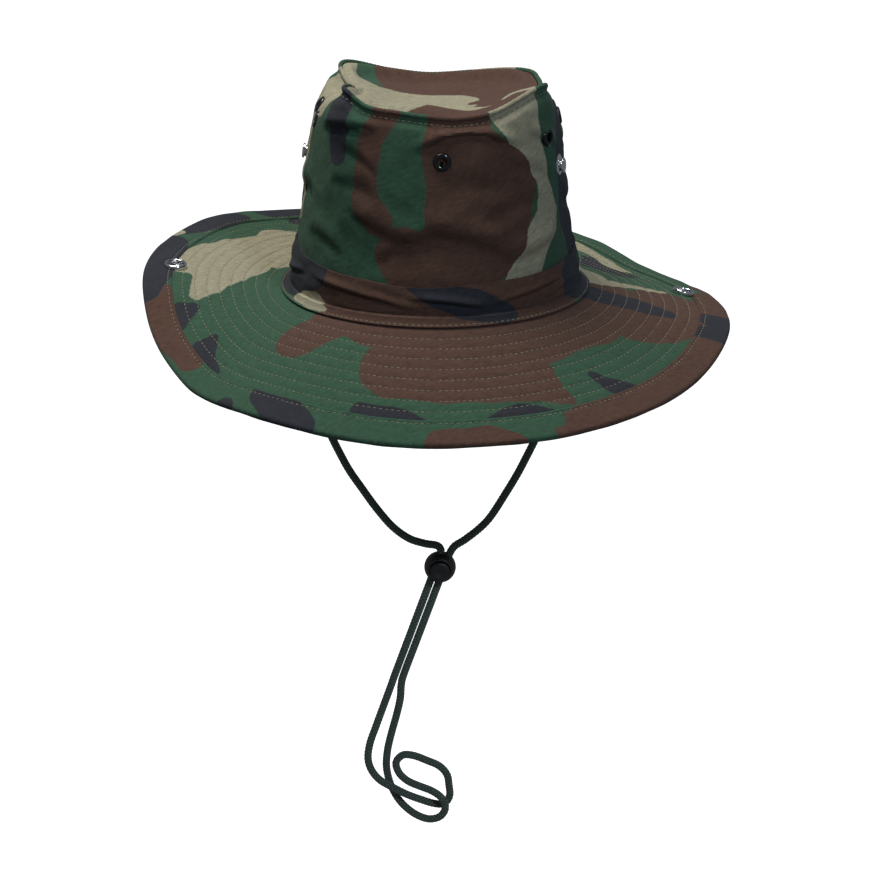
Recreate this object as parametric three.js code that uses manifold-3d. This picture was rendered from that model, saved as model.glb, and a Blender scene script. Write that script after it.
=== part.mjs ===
// Wide-brim field hat with snap-up sides, metal eyelets and a chin cord with a spring lock.
// Millimetres, +Z up. Origin: centre of the head opening at the crown-to-brim seam. Front is -Y.
import * as THREE from 'three';
import Module from 'manifold-3d';

const wasm = await Module();
wasm.setup();

// ---------- sizes ----------
const SEAM = { a: 86.5, b: 95.5 };            // crown outside at the seam, half widths in x and y
const CLOTH = 1.4;                            // crown wall, two plies of twill
const GAP = 0.3;                              // air left between neighbouring pieces
const LAYER = 0.85;                           // one brim ply
const HEM = { crease: 0.815, ply: 0.9 };      // where the turned hem starts along the brim, and its thickness
const SEAM_LEFT = 190, SEAM_RIGHT = -14;       // side seams of the crown, degrees
const WING = { x: 96.7, gap: 1.0 };           // where the snap-up sides part from the middle of the brim

// degrees round the hat (0 = wearer's left, -90 = front) and a value there
const TOP_RADIUS = [[-90, 76.5], [-70, 78], [-45, 83.5], [-22, 70], [0, 64], [22, 68], [46, 79.5], [70, 75.5], [90, 73],
  [112, 73.5], [137, 75.5], [158, 60], [180, 50], [200, 52.5], [215, 61], [231, 81], [241, 80.5], [255, 77]];
const SHOULDER = [[-90, 79], [-70, 80.5], [-44, 86.5], [-22, 77], [0, 71.5], [22, 74], [46, 80], [70, 78], [90, 76],
  [112, 77], [137, 80], [158, 76], [180, 69.5], [200, 72], [215, 78], [231, 84.5], [250, 81]];
const TOP_HEIGHT = [[-90, 115.2], [-80, 114.4], [-66, 117], [-44, 129.5], [-20, 124], [0, 121], [46, 121.5], [90, 116.5],
  [112, 120], [137, 127.5], [160, 124], [180, 121], [205, 124], [231, 128.7], [241, 120.6], [253, 117.8]];
const BRIM_RADIUS = [[-90, 172], [-70, 171.5], [-50, 173], [-28, 175], [-10, 178], [10, 177], [40, 180],
  [62, 184], [90, 187.5], [120, 184], [140, 180], [160, 177.5], [180, 175.5], [198, 174.5], [212, 172.5], [232, 172.5], [252, 173]];
const BRIM_HEIGHT = [[-90, -49], [-70, -48], [-50, -43], [-28, -34], [-10, -22], [10, -19], [25, -20.5], [40, -19.5], [54, -8],
  [75, 3], [97, 7], [120, 10], [140, 17], [158, 14], [175, 9], [188, 1], [197, -13], [207, -27], [217, -37],
  [232, -40], [252, -45]];
const BAND_TOP = [[-90, 21], [-60, 23], [-30, 26], [0, 28.5], [50, 25], [90, 24], [130, 25], [180, 30], [210, 27.5], [240, 23.5]];

// ---------- curves and surfaces ----------
const rad = (deg) => (deg * Math.PI) / 180;
const clamp = (v, lo, hi) => Math.min(hi, Math.max(lo, v));

// smooth closed curve through [degrees, value] pairs
function ringValue(list, deg) {
  const n = list.length;
  const turn = (d) => ((d % 360) + 360) % 360;
  const first = list[0][0];
  const x = turn(deg - first);
  const at = (i) => [turn(list[((i % n) + n) % n][0] - first) + 360 * Math.floor(i / n), list[((i % n) + n) % n][1]];
  let i = 0;
  while (i < n - 1 && at(i + 1)[0] <= x) i++;
  const [p, q, r, s] = [at(i - 1), at(i), at(i + 1), at(i + 2)];
  const u = (x - q[0]) / (r[0] - q[0]), w = r[0] - q[0];
  const m0 = ((r[1] - p[1]) / (r[0] - p[0])) * w, m1 = ((s[1] - q[1]) / (s[0] - q[0])) * w;
  return (2 * u ** 3 - 3 * u * u + 1) * q[1] + (u ** 3 - 2 * u * u + u) * m0
    + (3 * u * u - 2 * u ** 3) * r[1] + (u ** 3 - u * u) * m1;
}

function seamRadius(deg) {
  const c = Math.cos(rad(deg)), s = Math.sin(rad(deg));
  return (SEAM.a * SEAM.b) / Math.hypot(SEAM.b * c, SEAM.a * s);
}

// the wall runs straight to its shoulder and rolls over into the top edge only near the end
function crownRadius(deg, z) {
  const t = clamp(z / ringValue(TOP_HEIGHT, deg), 0, 1);
  const foot = seamRadius(deg), shoulder = ringValue(SHOULDER, deg);
  return foot + (shoulder - foot) * t + (ringValue(TOP_RADIUS, deg) - shoulder) * t ** 16;
}

const polar = (deg, r, z) => new THREE.Vector3(r * Math.cos(rad(deg)), r * Math.sin(rad(deg)), z);

// along 0 = seam, 1 = outer edge; lift is square to the cloth
const fall = (s) => (1.08 * s * s) / (s + 0.08);
const fallRate = (s) => (1.08 * (s * s + 0.16 * s)) / (s + 0.08) ** 2;
function brimPoint(deg, along, lift) {
  const r0 = seamRadius(deg), r1 = ringValue(BRIM_RADIUS, deg), drop = ringValue(BRIM_HEIGHT, deg);
  const s = Math.max(along, 0);
  const slope = Math.atan2(drop * fallRate(s), r1 - r0);
  return polar(deg, r0 + (r1 - r0) * along - lift * Math.sin(slope), drop * fall(s) + lift * Math.cos(slope));
}

function tipPoint(deg, share, lift) {
  const r = (ringValue(TOP_RADIUS, deg) - 2.6) * share;
  const x = r * Math.cos(rad(deg)), y = r * Math.sin(rad(deg));
  const w = share ** 2.6;
  const pillow = 5 * Math.exp(-(((x - 6) / 42) ** 2) - ((y + 44) / 16) ** 2);
  const rim = ringValue(TOP_HEIGHT, deg) - 1.2;
  return new THREE.Vector3(x, y, rim * w + 109 * (1 - w) + pillow * (1 - share ** 4) + lift);
}

// ---------- mesh helpers ----------
function geometryOf(points, faces) {
  const g = new THREE.BufferGeometry();
  g.setAttribute('position', new THREE.Float32BufferAttribute(points.flatMap((p) => [p.x, p.y, p.z]), 3));
  g.setIndex(faces.flat());
  return g;
}

// closed cross-sections joined one after another; the two ends are capped unless the sweep closes on itself
function loft(loops, closed) {
  const n = loops[0].length, m = loops.length, faces = [];
  const id = (i, j) => (i % m) * n + (((j % n) + n) % n);
  for (let i = 0; i < (closed ? m : m - 1); i++)
    for (let j = 0; j < n; j++)               // the far side splits its quads the same way as the near side
      if (j < n / 2) faces.push([id(i, j), id(i + 1, j), id(i + 1, j + 1)], [id(i, j), id(i + 1, j + 1), id(i, j + 1)]);
      else faces.push([id(i, j), id(i + 1, j), id(i, j + 1)], [id(i + 1, j), id(i + 1, j + 1), id(i, j + 1)]);
  if (!closed)
    for (let j = 0; j < n / 2 - 1; j++) {
      const k = n - 1 - j;
      faces.push([id(0, j), id(0, j + 1), id(0, k - 1)], [id(0, j), id(0, k - 1), id(0, k)]);
      faces.push([id(m - 1, j), id(m - 1, k - 1), id(m - 1, j + 1)], [id(m - 1, j), id(m - 1, k), id(m - 1, k - 1)]);
    }
  return facingOut(loops.flat(), faces);
}

function facingOut(points, faces) {
  let volume = 0;
  const c = new THREE.Vector3();
  for (const [i, j, k] of faces) volume += points[i].dot(c.crossVectors(points[j], points[k]));
  if (volume < 0) for (const f of faces) f.reverse();
  return geometryOf(points, faces);
}

// one profile per direction, starting and ending on the vertical axis
function dome(profileAt, count) {
  const profiles = Array.from({ length: count }, (_, i) => profileAt((i * 360) / count));
  const n = profiles[0].length, points = [profiles[0][0], profiles[0][n - 1]], faces = [];
  for (const p of profiles) points.push(...p.slice(1, -1));
  const id = (i, j) => (j === 0 ? 0 : j === n - 1 ? 1 : 2 + (i % count) * (n - 2) + j - 1);
  for (let i = 0; i < count; i++)
    for (let j = 0; j < n - 1; j++) {
      if (j > 0) faces.push([id(i, j), id(i + 1, j), id(i + 1, j + 1)]);
      if (j < n - 2) faces.push(j > 0 ? [id(i, j), id(i + 1, j + 1), id(i, j + 1)] : [0, id(i + 1, 1), id(i, 1)]);
    }
  const kept = faces.filter((f) => new Set(f).size === 3);
  return facingOut(points, kept);
}

function solid(geometry) {
  const g = geometry.index ? geometry : geometry.clone();
  const pos = g.attributes.position, key = new Map(), verts = [], tris = [];
  const count = g.index ? g.index.count : pos.count;
  for (let i = 0; i < count; i++) {
    const v = g.index ? g.index.getX(i) : i;
    const p = [pos.getX(v), pos.getY(v), pos.getZ(v)];
    const k = p.map((q) => Math.round(q * 2000)).join();
    if (!key.has(k)) { key.set(k, verts.length / 3); verts.push(...p); }
    tris.push(key.get(k));
  }
  const kept = [];
  for (let i = 0; i < tris.length; i += 3)
    if (new Set(tris.slice(i, i + 3)).size === 3) kept.push(...tris.slice(i, i + 3));
  return new wasm.Manifold(new wasm.Mesh({ numProp: 3, vertProperties: new Float32Array(verts), triVerts: new Uint32Array(kept) }));
}

function geometryFrom(manifold) {
  const m = manifold.getMesh(), g = new THREE.BufferGeometry();
  g.setAttribute('position', new THREE.Float32BufferAttribute(m.vertProperties, 3));
  g.setIndex([...m.triVerts]);
  return g;
}

function turned(profile, segments) {
  const g = new THREE.LatheGeometry(profile.map(([r, z]) => new THREE.Vector2(r, z)), segments);
  g.rotateX(Math.PI / 2);                     // lathe axis Y becomes Z
  return facingOutGeometry(g);
}
function facingOutGeometry(g) {
  const s = solid(g);
  return s.volume() >= 0 ? geometryFrom(s) : geometryFrom(solid(flip(g)));
}
function flip(g) {
  const f = g.clone(), idx = [...f.index.array];
  for (let i = 0; i < idx.length; i += 3) [idx[i + 1], idx[i + 2]] = [idx[i + 2], idx[i + 1]];
  f.setIndex(idx);
  return f;
}

function block(x0, x1, y0, y1, z0, z1) {
  const g = new THREE.BoxGeometry(x1 - x0, y1 - y0, z1 - z0);
  g.translate((x0 + x1) / 2, (y0 + y1) / 2, (z0 + z1) / 2);
  return g;
}

// a frame standing on a surface: its z axis is the outward normal
function frameOn(point, du, dv, outward) {
  const normal = new THREE.Vector3().crossVectors(du, dv).normalize();
  if (normal.dot(outward) < 0) normal.negate();
  const side = du.clone().normalize();
  const up = new THREE.Vector3().crossVectors(normal, side);
  return new THREE.Matrix4().makeBasis(side, up, normal).setPosition(point);
}
function wallFrame(deg, z) {
  const at = (d, h) => polar(d, crownRadius(d, h), h);
  return frameOn(at(deg, z), at(deg + 0.5, z).sub(at(deg - 0.5, z)), at(deg, z + 1).sub(at(deg, z - 1)), polar(deg, 1, 0));
}
function brimFrame(deg, along) {
  const top = 0.15 + LAYER;
  const at = (d, s) => brimPoint(d, s, top);
  return frameOn(at(deg, along), at(deg + 0.5, along).sub(at(deg - 0.5, along)),
    at(deg, along + 0.01).sub(at(deg, along - 0.01)), new THREE.Vector3(0, 0, 1));
}
const span = (from, to, count) => Array.from({ length: count + 1 }, (_, i) => from + ((to - from) * i) / count);

// ---------- materials and the group ----------
const paint = (color, roughness, metalness = 0) => new THREE.MeshStandardMaterial({ color, roughness, metalness });
const camoCloth = paint(0x3f5136, 0.9);
const bandCloth = paint(0x43332c, 0.9);
const sweatCloth = paint(0x2e3a2a, 0.9);
const labelCloth = paint(0xd8d6cc, 0.9);
const cordGreen = paint(0x26402a, 0.9);
const chrome = paint(0xc9ccd0, 0.2, 1);
const blackEnamel = paint(0x0b0b0c, 0.25, 0.4);
const lockPlastic = paint(0x17120f, 0.5);
const steel = paint(0x9a9da1, 0.35, 1);

const hat = new THREE.Group();
function add(name, geometry, material) {
  const g = geometry.index ? geometry.toNonIndexed() : geometry;
  g.computeVertexNormals();
  const mesh = new THREE.Mesh(g, material);
  mesh.name = name;
  hat.add(mesh);
}

// ---------- metal fittings ----------
const EYELET = [[2.75, 1.2], [3.9, 1.45], [5.0, 1.1], [5.2, 0.35], [3.3, 0.35], [3.3, -2.1], [4.6, -2.1], [4.6, -2.6], [2.75, -2.6], [2.75, 1.2]];
const STUD = [[0, -3.1], [1.9, -3.1], [1.9, 0.35], [6.4, 0.35], [6.4, 0.95], [5.2, 1.5], [3.2, 1.8],
  [3.1, 2.4], [4.4, 2.8], [4.5, 3.5], [3.4, 4.1], [0, 4.2]];
const STUD_PLATE = [[2.2, -3.3], [2.2, -2.3], [5.2, -2.3], [5.0, -3.0], [2.2, -3.3]];
const SOCKET = [[0, -3.2], [1.9, -3.2], [1.9, 0.35], [7.0, 0.35], [7.0, 1.1], [6.5, 2.2], [5.7, 2.8], [5.1, 2.4],
  [4.9, 1.2], [0, 1.2]];
const SOCKET_CAP = [[2.2, -3.6], [2.2, -2.4], [6.5, -2.4], [6.3, -2.9], [4.2, -3.5], [2.2, -3.6]];

const EYELETS = {
  eyelet_front: [-87, 91], eyelet_back: [90, 92],
  eyelet_left_fore: [197, 104.5], eyelet_left_aft: [176, 109],
  eyelet_right_fore: [-42, 101], eyelet_right_aft: [-7, 105],
};
const STUDS = { left: [183, 82.5], right: [-31.5, 82] };
const SOCKETS = { left: [176, 0.81], right: [10.5, 0.775] };

const placed = (profile, segments, frame) => turned(profile, segments).applyMatrix4(frame);
const pin = (radius, frame) => solid(placed([[0, -12], [radius, -12], [radius, 12], [0, 12]], 16, frame));

for (const [name, [deg, z]] of Object.entries(EYELETS)) add(name, placed(EYELET, 16, wallFrame(deg, z)), blackEnamel);
for (const [side, [deg, z]] of Object.entries(STUDS)) {
  add('snap_stud_' + side, placed(STUD, 20, wallFrame(deg, z)), chrome);
  add('snap_stud_plate_' + side, placed(STUD_PLATE, 16, wallFrame(deg, z)), steel);
}
for (const [side, [deg, along]] of Object.entries(SOCKETS)) {
  add('snap_socket_' + side, placed(SOCKET, 20, brimFrame(deg, along)), chrome);
  add('snap_socket_cap_' + side, placed(SOCKET_CAP, 20, brimFrame(deg, along)), steel);
}

// ---------- crown ----------
const WALL_FOOT = 1.6, WALL_TOP_GAP = 2.2;
function wallLoop(deg) {
  const top = ringValue(TOP_HEIGHT, deg) - WALL_TOP_GAP;
  const heights = [0, 0.22, 0.44, 0.64, 0.8, 0.9, 0.96, 1].map((u) => WALL_FOOT + (top - WALL_FOOT) * u);
  const outer = heights.map((z) => polar(deg, crownRadius(deg, z), z));
  const inner = heights.map((z) => polar(deg, crownRadius(deg, z) - CLOTH, z));
  return [...outer, ...inner.reverse()];
}
function crownPanel(from, to, count) {
  let body = solid(loft(span(from + 0.12, to - 0.12, count).map(wallLoop), false));
  for (const [deg, z] of Object.values(EYELETS)) body = body.subtract(pin(3.7, wallFrame(deg, z)));
  for (const [deg, z] of Object.values(STUDS)) body = body.subtract(pin(2.3, wallFrame(deg, z)));
  return geometryFrom(body);
}
add('crown_front_panel', crownPanel(SEAM_LEFT - 360, SEAM_RIGHT, 24), camoCloth);
add('crown_back_panel', crownPanel(SEAM_RIGHT, SEAM_LEFT, 20), camoCloth);

add('crown_tip', dome((deg) => {
  const shares = [0, 0.3, 0.55, 0.78, 0.92, 1];
  return [...shares.map((s) => tipPoint(deg, s, 0.6)), ...shares.reverse().map((s) => tipPoint(deg, s, -0.6))];
}, 60), camoCloth);

function weltLoop(deg) {
  const r = ringValue(TOP_RADIUS, deg) - 0.7, z = ringValue(TOP_HEIGHT, deg) - 0.2;
  return span(0, 300, 5).map((a) => polar(deg, r + 1.35 * Math.cos(rad(a)), z + 1.35 * Math.sin(rad(a))));
}
add('crown_top_welt', loft(span(0, 354, 59).map(weltLoop), true), camoCloth);

function bandLoop(deg) {
  const top = ringValue(BAND_TOP, deg);
  const wall = (z, off) => polar(deg, crownRadius(deg, z) + off, z);
  const outer = [wall(top, 1.5), wall(top * 0.5, 1.5), wall(6.5, 1.9), brimPoint(deg, 0.035, 3.3), brimPoint(deg, 0.075, 2.5)];
  const inner = [brimPoint(deg, 0.075, 1.45), brimPoint(deg, 0.03, 1.6), wall(5.5, 0.5), wall(top * 0.5, 0.45), wall(top, 0.45)];
  return [...outer, ...inner];
}
add('crown_band', loft(span(0, 354, 59).map(bandLoop), true), bandCloth);

function sweatLoop(deg) {
  const at = (z, off) => polar(deg, crownRadius(deg, z) - off, z);
  return [at(-1, 2.2), at(16, 2.2), at(33, 2.2), at(33, 3.4), at(16, 3.4), at(-1, 3.4)];
}
add('sweatband', loft(span(0, 354, 59).map(sweatLoop), true), sweatCloth);

function labelLoop(deg) {
  const at = (z, off) => polar(deg, crownRadius(deg, z) - off, z);
  return [at(8, 3.75), at(26, 3.75), at(26, 4.25), at(8, 4.25)];
}
add('care_label', loft(span(80, 100, 6).map(labelLoop), false), labelCloth);

// ---------- brim ----------
const ALONG = [-0.018, 0.07, 0.25, 0.5, 0.75, 0.985];
const brimPly = (low, high) => (deg) => [...ALONG.map((s) => brimPoint(deg, s, high)), ...[...ALONG].reverse().map((s) => brimPoint(deg, s, low))];
function hemLoop(deg) {
  const top = 0.15 + LAYER + GAP, high = top + HEM.ply;
  return [brimPoint(deg, HEM.crease, high), brimPoint(deg, 0.93, high), brimPoint(deg, 1.0, high * 0.8), brimPoint(deg, 1.012, 0),
    brimPoint(deg, 1.0, -high * 0.8), brimPoint(deg, 0.94, -high),
    brimPoint(deg, 0.94, -top), brimPoint(deg, 0.992, -top), brimPoint(deg, 0.992, top), brimPoint(deg, HEM.crease, top)];
}
const ROUND = span(0, 355, 71);
const upperPly = solid(loft(ROUND.map(brimPly(0.15, 0.15 + LAYER)), true));
const underPly = solid(loft(ROUND.map(brimPly(-0.15 - LAYER, -0.15)), true));
let hem = solid(loft(ROUND.map(hemLoop), true));

const BIG = 260;
const region = (x0, x1, y0, y1) => solid(block(x0, x1, y0, y1, -BIG, BIG));
const middle = region(-WING.x + WING.gap / 2, WING.x - WING.gap / 2, -BIG, BIG);
const wingSpace = { left: region(-BIG, -WING.x - WING.gap / 2, -BIG, BIG), right: region(WING.x + WING.gap / 2, BIG, -BIG, BIG) };
const front = region(-BIG, BIG, -BIG, 0), back = region(-BIG, BIG, 0, BIG);

function pierced(body, radius) {
  for (const [deg, along] of Object.values(SOCKETS)) body = body.subtract(pin(radius, brimFrame(deg, along)));
  return body;
}
hem = pierced(hem, 7.5);
add('brim_middle_upper', geometryFrom(upperPly.intersect(middle)), camoCloth);
add('brim_middle_under', geometryFrom(underPly.intersect(middle)), camoCloth);
add('brim_hem_front', geometryFrom(hem.intersect(middle).intersect(front)), camoCloth);
add('brim_hem_back', geometryFrom(hem.intersect(middle).intersect(back)), camoCloth);
for (const side of ['left', 'right']) {
  add('wing_' + side + '_upper', geometryFrom(pierced(upperPly.intersect(wingSpace[side]), 2.3)), camoCloth);
  add('wing_' + side + '_under', geometryFrom(pierced(underPly.intersect(wingSpace[side]), 2.3)), camoCloth);
  add('wing_' + side + '_hem', geometryFrom(hem.intersect(wingSpace[side])), camoCloth);
}

// ---------- chin cord ----------
const CORD = { radius: 2.45, steps: 210, x: 78.2, y: -4, z: 6 };
const LOCK = { x: 3.5, y: -4, z: -182, radius: 10, tilt: 19.5, strand: 2.65 };
const down = new THREE.Vector3(-Math.sin(rad(LOCK.tilt)), 0, -Math.cos(rad(LOCK.tilt)));
const across = new THREE.Vector3(Math.cos(rad(LOCK.tilt)), 0, -Math.sin(rad(LOCK.tilt)));
const lockCentre = new THREE.Vector3(LOCK.x, LOCK.y, LOCK.z);
const inLock = (k, side) => lockCentre.clone().addScaledVector(down, k).addScaledVector(across, side * LOCK.strand);

// hand-laid course: left strand, lock, loose tail, lock again, right strand
const course = [
  [-78.2, -4, 6], [-78.2, -4, -12], [-76.8, -4, -38], [-70.8, -4, -77], [-56.4, -4, -111.5], [-44.4, -4, -131],
  [-35, -4, -144.6], [-26, -4, -155.4], [-16, -4, -163], [-6, -4, -166.4], [0.8, -4, -167.5], [3.5, -4, -169.5],
  inLock(-8.8, -1), inLock(-4, -1), inLock(4, -1), inLock(20, -1), inLock(50, -1), inLock(76, -1),
  [-28.4, -4.3, -264.6], [-32.7, -5, -276.7], [-37.5, -6, -290.3], [-41.4, -7.5, -301.5], [-42.8, -8.5, -311.6],
  [-40.6, -9, -319.8], [-35.2, -9, -326.9], [-26.8, -8.6, -332.4], [-17.8, -7.4, -337.9], [-8.8, -5.6, -342.4],
  [-0.3, -3.4, -346.3], [6.2, -1.6, -347.2], [9.8, -1.2, -342], [9.4, -2.2, -333.7], [8, -3.8, -325.4],
  [3, -4.6, -319], [-4.8, -5, -315], [-13.2, -5, -311.6], [-20.4, -5, -311.2], [-24.8, -5.2, -316.4],
  [-22.8, -5.6, -323.6], [-17.1, -6.4, -328.9], [-9.4, -7.4, -332.1], [-1.6, -8.6, -334.9], [4.6, -9.6, -339.4],
  [7, -9.6, -346.5], [3.6, -9, -352.8], [-3.6, -7.6, -355.3], [-12, -5.8, -353], [-19.8, -3.6, -347.6],
  [-25.3, -2.2, -340.5], [-29.2, -1.8, -331], [-31.1, -2.2, -320.2], [-30.3, -2.6, -308.7], [-27.7, -3, -296.5],
  [-24.4, -3.4, -283.7], [-22, -3.7, -272.4], [-21.2, -3.9, -262],
  inLock(76, 1), inLock(50, 1), inLock(20, 1), inLock(4, 1), inLock(-4, 1), inLock(-10, 1),
  [12.6, -4, -168.2], [18.8, -4, -164], [27.6, -4, -156.8], [34.4, -4, -149.4], [42.6, -4, -136.2],
  [55, -4, -113.5], [68.6, -4, -81], [76.2, -4, -40], [78.1, -4, -12], [78.2, -4, 6],
].map((p) => (p.isVector3 ? p : new THREE.Vector3(...p)));
const cordLine = new THREE.CatmullRomCurve3(course, false, 'catmullrom', 0.5);
const round = new THREE.Shape(span(0, 315, 7).map((a) => new THREE.Vector2(CORD.radius * Math.cos(rad(a)), CORD.radius * Math.sin(rad(a)))));
add('chin_cord', new THREE.ExtrudeGeometry(round, { steps: CORD.steps, extrudePath: cordLine, bevelEnabled: false }), cordGreen);

function anchor(sign) {
  const [near, far] = [CORD.x - 2.6, CORD.x + 1.5].map((x) => sign * x).sort((p, q) => p - q);
  const pocket = solid(block(near, far, CORD.y - 5, CORD.y + 5, CORD.z + 1.9, CORD.z + 12));
  const cup = new THREE.SphereGeometry(2.8, 14, 10).translate(sign * CORD.x, CORD.y, CORD.z);
  return geometryFrom(pocket.subtract(solid(cup)));
}
add('cord_anchor_left', anchor(-1), sweatCloth);
add('cord_anchor_right', anchor(1), sweatCloth);

// ---------- cord lock: ball, push button, spring ----------
const BORE = [[0, -12], [6.5, -12], [6.5, 5.8], [5.4, 7.3], [3.2, 7.5], [3.2, 8.7], [0, 8.7]];
const BUTTON = [[0, -11], [5.4, -11], [6.2, -10.2], [6.2, 2.6], [5.0, 4.1], [0, 4.1]];
const lockFrame = new THREE.Matrix4().makeTranslation(LOCK.x, LOCK.y, LOCK.z);
// profiles run along +Y here
const alongY = (profile, segments) => turned(profile, segments).applyMatrix4(new THREE.Matrix4().makeRotationX(-Math.PI / 2)).applyMatrix4(lockFrame);
function slotBlock(half, y0, y1, long) {
  const g = block(-half, half, y0, y1, -long, long);
  const turn = new THREE.Matrix4().makeBasis(across, new THREE.Vector3(0, 1, 0), down.clone().negate());
  return g.applyMatrix4(turn).applyMatrix4(lockFrame);
}
function mouth(end) {
  const g = slotBlock(6.1, -3.5, 3.5, 1.6);
  return g.translate(down.x * end, down.y * end, down.z * end);
}
let barrel = solid(new THREE.SphereGeometry(LOCK.radius, 22, 14).rotateX(Math.PI / 2).applyMatrix4(lockFrame));
barrel = barrel.subtract(solid(alongY(BORE, 22))).subtract(solid(slotBlock(5.4, -2.7, 2.7, 14)));
for (const end of [-10, 10]) barrel = barrel.subtract(solid(mouth(end)));
add('cord_lock_barrel', geometryFrom(barrel), lockPlastic);
const button = solid(alongY(BUTTON, 20)).subtract(solid(slotBlock(5.3, -5.7, 2.6, 14)));
add('cord_lock_button', geometryFrom(button), lockPlastic);

class Coil extends THREE.Curve {
  getPoint(t, target = new THREE.Vector3()) {
    const a = t * Math.PI * 2 * 2.6;
    return target.set(LOCK.x + 2.3 * Math.cos(a), LOCK.y + 4.75 + 3.3 * t, LOCK.z + 2.3 * Math.sin(a));
  }
}
const wire = new THREE.Shape(span(0, 300, 5).map((a) => new THREE.Vector2(0.3 * Math.cos(rad(a)), 0.3 * Math.sin(rad(a)))));
add('cord_lock_spring', new THREE.ExtrudeGeometry(wire, { steps: 34, extrudePath: new Coil(), bevelEnabled: false }), steel);

export default hat;
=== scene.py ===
import math
import bmesh
import bpy
import numpy as np
from mathutils import Matrix, Vector


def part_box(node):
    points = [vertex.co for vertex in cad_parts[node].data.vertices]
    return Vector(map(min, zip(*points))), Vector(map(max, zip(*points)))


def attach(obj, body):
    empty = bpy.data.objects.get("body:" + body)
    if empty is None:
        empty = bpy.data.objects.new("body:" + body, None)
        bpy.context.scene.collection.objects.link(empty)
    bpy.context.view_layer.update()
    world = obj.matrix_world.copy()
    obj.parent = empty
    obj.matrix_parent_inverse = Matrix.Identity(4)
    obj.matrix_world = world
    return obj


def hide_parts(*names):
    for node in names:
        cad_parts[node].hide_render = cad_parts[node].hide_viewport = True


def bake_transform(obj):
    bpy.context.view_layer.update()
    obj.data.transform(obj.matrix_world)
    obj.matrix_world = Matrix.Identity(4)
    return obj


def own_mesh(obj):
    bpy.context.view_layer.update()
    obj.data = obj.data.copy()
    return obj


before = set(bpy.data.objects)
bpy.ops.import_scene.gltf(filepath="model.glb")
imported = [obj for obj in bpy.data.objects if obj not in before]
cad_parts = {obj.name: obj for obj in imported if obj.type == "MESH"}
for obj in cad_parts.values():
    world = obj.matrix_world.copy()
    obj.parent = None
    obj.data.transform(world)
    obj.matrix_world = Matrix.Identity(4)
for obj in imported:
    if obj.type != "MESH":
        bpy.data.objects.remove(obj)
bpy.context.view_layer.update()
scene = bpy.context.scene
mm = 0.001

# camera, world and lights
view = {"lens": 100.2, "tilt": 17.5, "distance": 1.5, "aimHeight": -0.096}
studio = {
    "skyFill": 0.17, "skyTint": (0.84, 0.93, 1.0, 1),
    "overhead": {"place": (-0.35, 0.02, 1.5), "size": 0.8, "power": 29.0, "tint": (1.0, 0.985, 0.95)},
    "front": {"place": (0.7, -1.5, 1.15), "size": 0.2, "power": 12.5, "tint": (0.74, 0.9, 1.1)},
    "floorHeight": -1.3, "floorGlow": 1.0,
}


def placeCamera():
    tilt = math.radians(view["tilt"])
    lens = bpy.data.cameras.new("viewCamera")
    lens.lens = view["lens"]
    lens.sensor_width = 36
    camera = bpy.data.objects.new("viewCamera", lens)
    scene.collection.objects.link(camera)
    back, rise = view["distance"] * math.cos(tilt), view["distance"] * math.sin(tilt)
    camera.location = (0, -back, view["aimHeight"] + rise)
    camera.rotation_euler = (math.radians(90) - tilt, 0, 0)
    scene.camera = camera


def hangLamp(name, settings):
    lamp = bpy.data.lights.new(name, "AREA")
    lamp.shape = "DISK"
    lamp.size = settings["size"]
    lamp.energy = settings["power"]
    lamp.color = settings["tint"]
    holder = bpy.data.objects.new(name, lamp)
    scene.collection.objects.link(holder)
    holder.location = settings["place"]
    holder.rotation_euler = (-Vector(settings["place"])).to_track_quat("-Z", "Y").to_euler()


def buildWorld():
    world = bpy.data.worlds.new("studioWhite")
    scene.world = world
    world.use_nodes = True
    tree = world.node_tree
    tree.nodes.clear()
    seen = tree.nodes.new("ShaderNodeBackground")
    felt = tree.nodes.new("ShaderNodeBackground")
    felt.inputs["Strength"].default_value = studio["skyFill"]
    seen.inputs["Strength"].default_value = 1.0
    seen.inputs["Color"].default_value = (1, 1, 1, 1)
    felt.inputs["Color"].default_value = studio["skyTint"]
    rays = tree.nodes.new("ShaderNodeLightPath")
    pick = tree.nodes.new("ShaderNodeMixShader")
    out = tree.nodes.new("ShaderNodeOutputWorld")
    tree.links.new(rays.outputs["Is Camera Ray"], pick.inputs[0])
    tree.links.new(felt.outputs[0], pick.inputs[1])
    tree.links.new(seen.outputs[0], pick.inputs[2])
    tree.links.new(pick.outputs[0], out.inputs[0])


def layFloor():
    bm = bmesh.new()
    bmesh.ops.create_grid(bm, x_segments=1, y_segments=1, size=20)
    bmesh.ops.translate(bm, vec=(0, 0, studio["floorHeight"]), verts=bm.verts)
    floor = addPiece("studioFloor", bm)
    paper = bpy.data.materials.new("paleFloor")
    paper.use_nodes = True
    shader = paper.node_tree.nodes["Principled BSDF"]
    shader.inputs["Base Color"].default_value = (0.9, 0.9, 0.9, 1)
    shader.inputs["Roughness"].default_value = 0.9
    shader.inputs["Emission Color"].default_value = (1, 1, 1, 1)
    shader.inputs["Emission Strength"].default_value = studio["floorGlow"]
    floor.data.materials.append(paper)
    floor.visible_diffuse = False
    floor.visible_glossy = False


# mesh helpers
def addPiece(name, bm, sharpAngle=None, smooth=True):
    if sharpAngle:
        for edge in bm.edges:
            if len(edge.link_faces) != 2 or edge.calc_face_angle(0) > math.radians(sharpAngle):
                edge.smooth = False
    for face in bm.faces:
        face.smooth = smooth
    mesh = bpy.data.meshes.new(name)
    bm.to_mesh(mesh)
    bm.free()
    piece = bpy.data.objects.new(name, mesh)
    scene.collection.objects.link(piece)
    return piece


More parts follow.
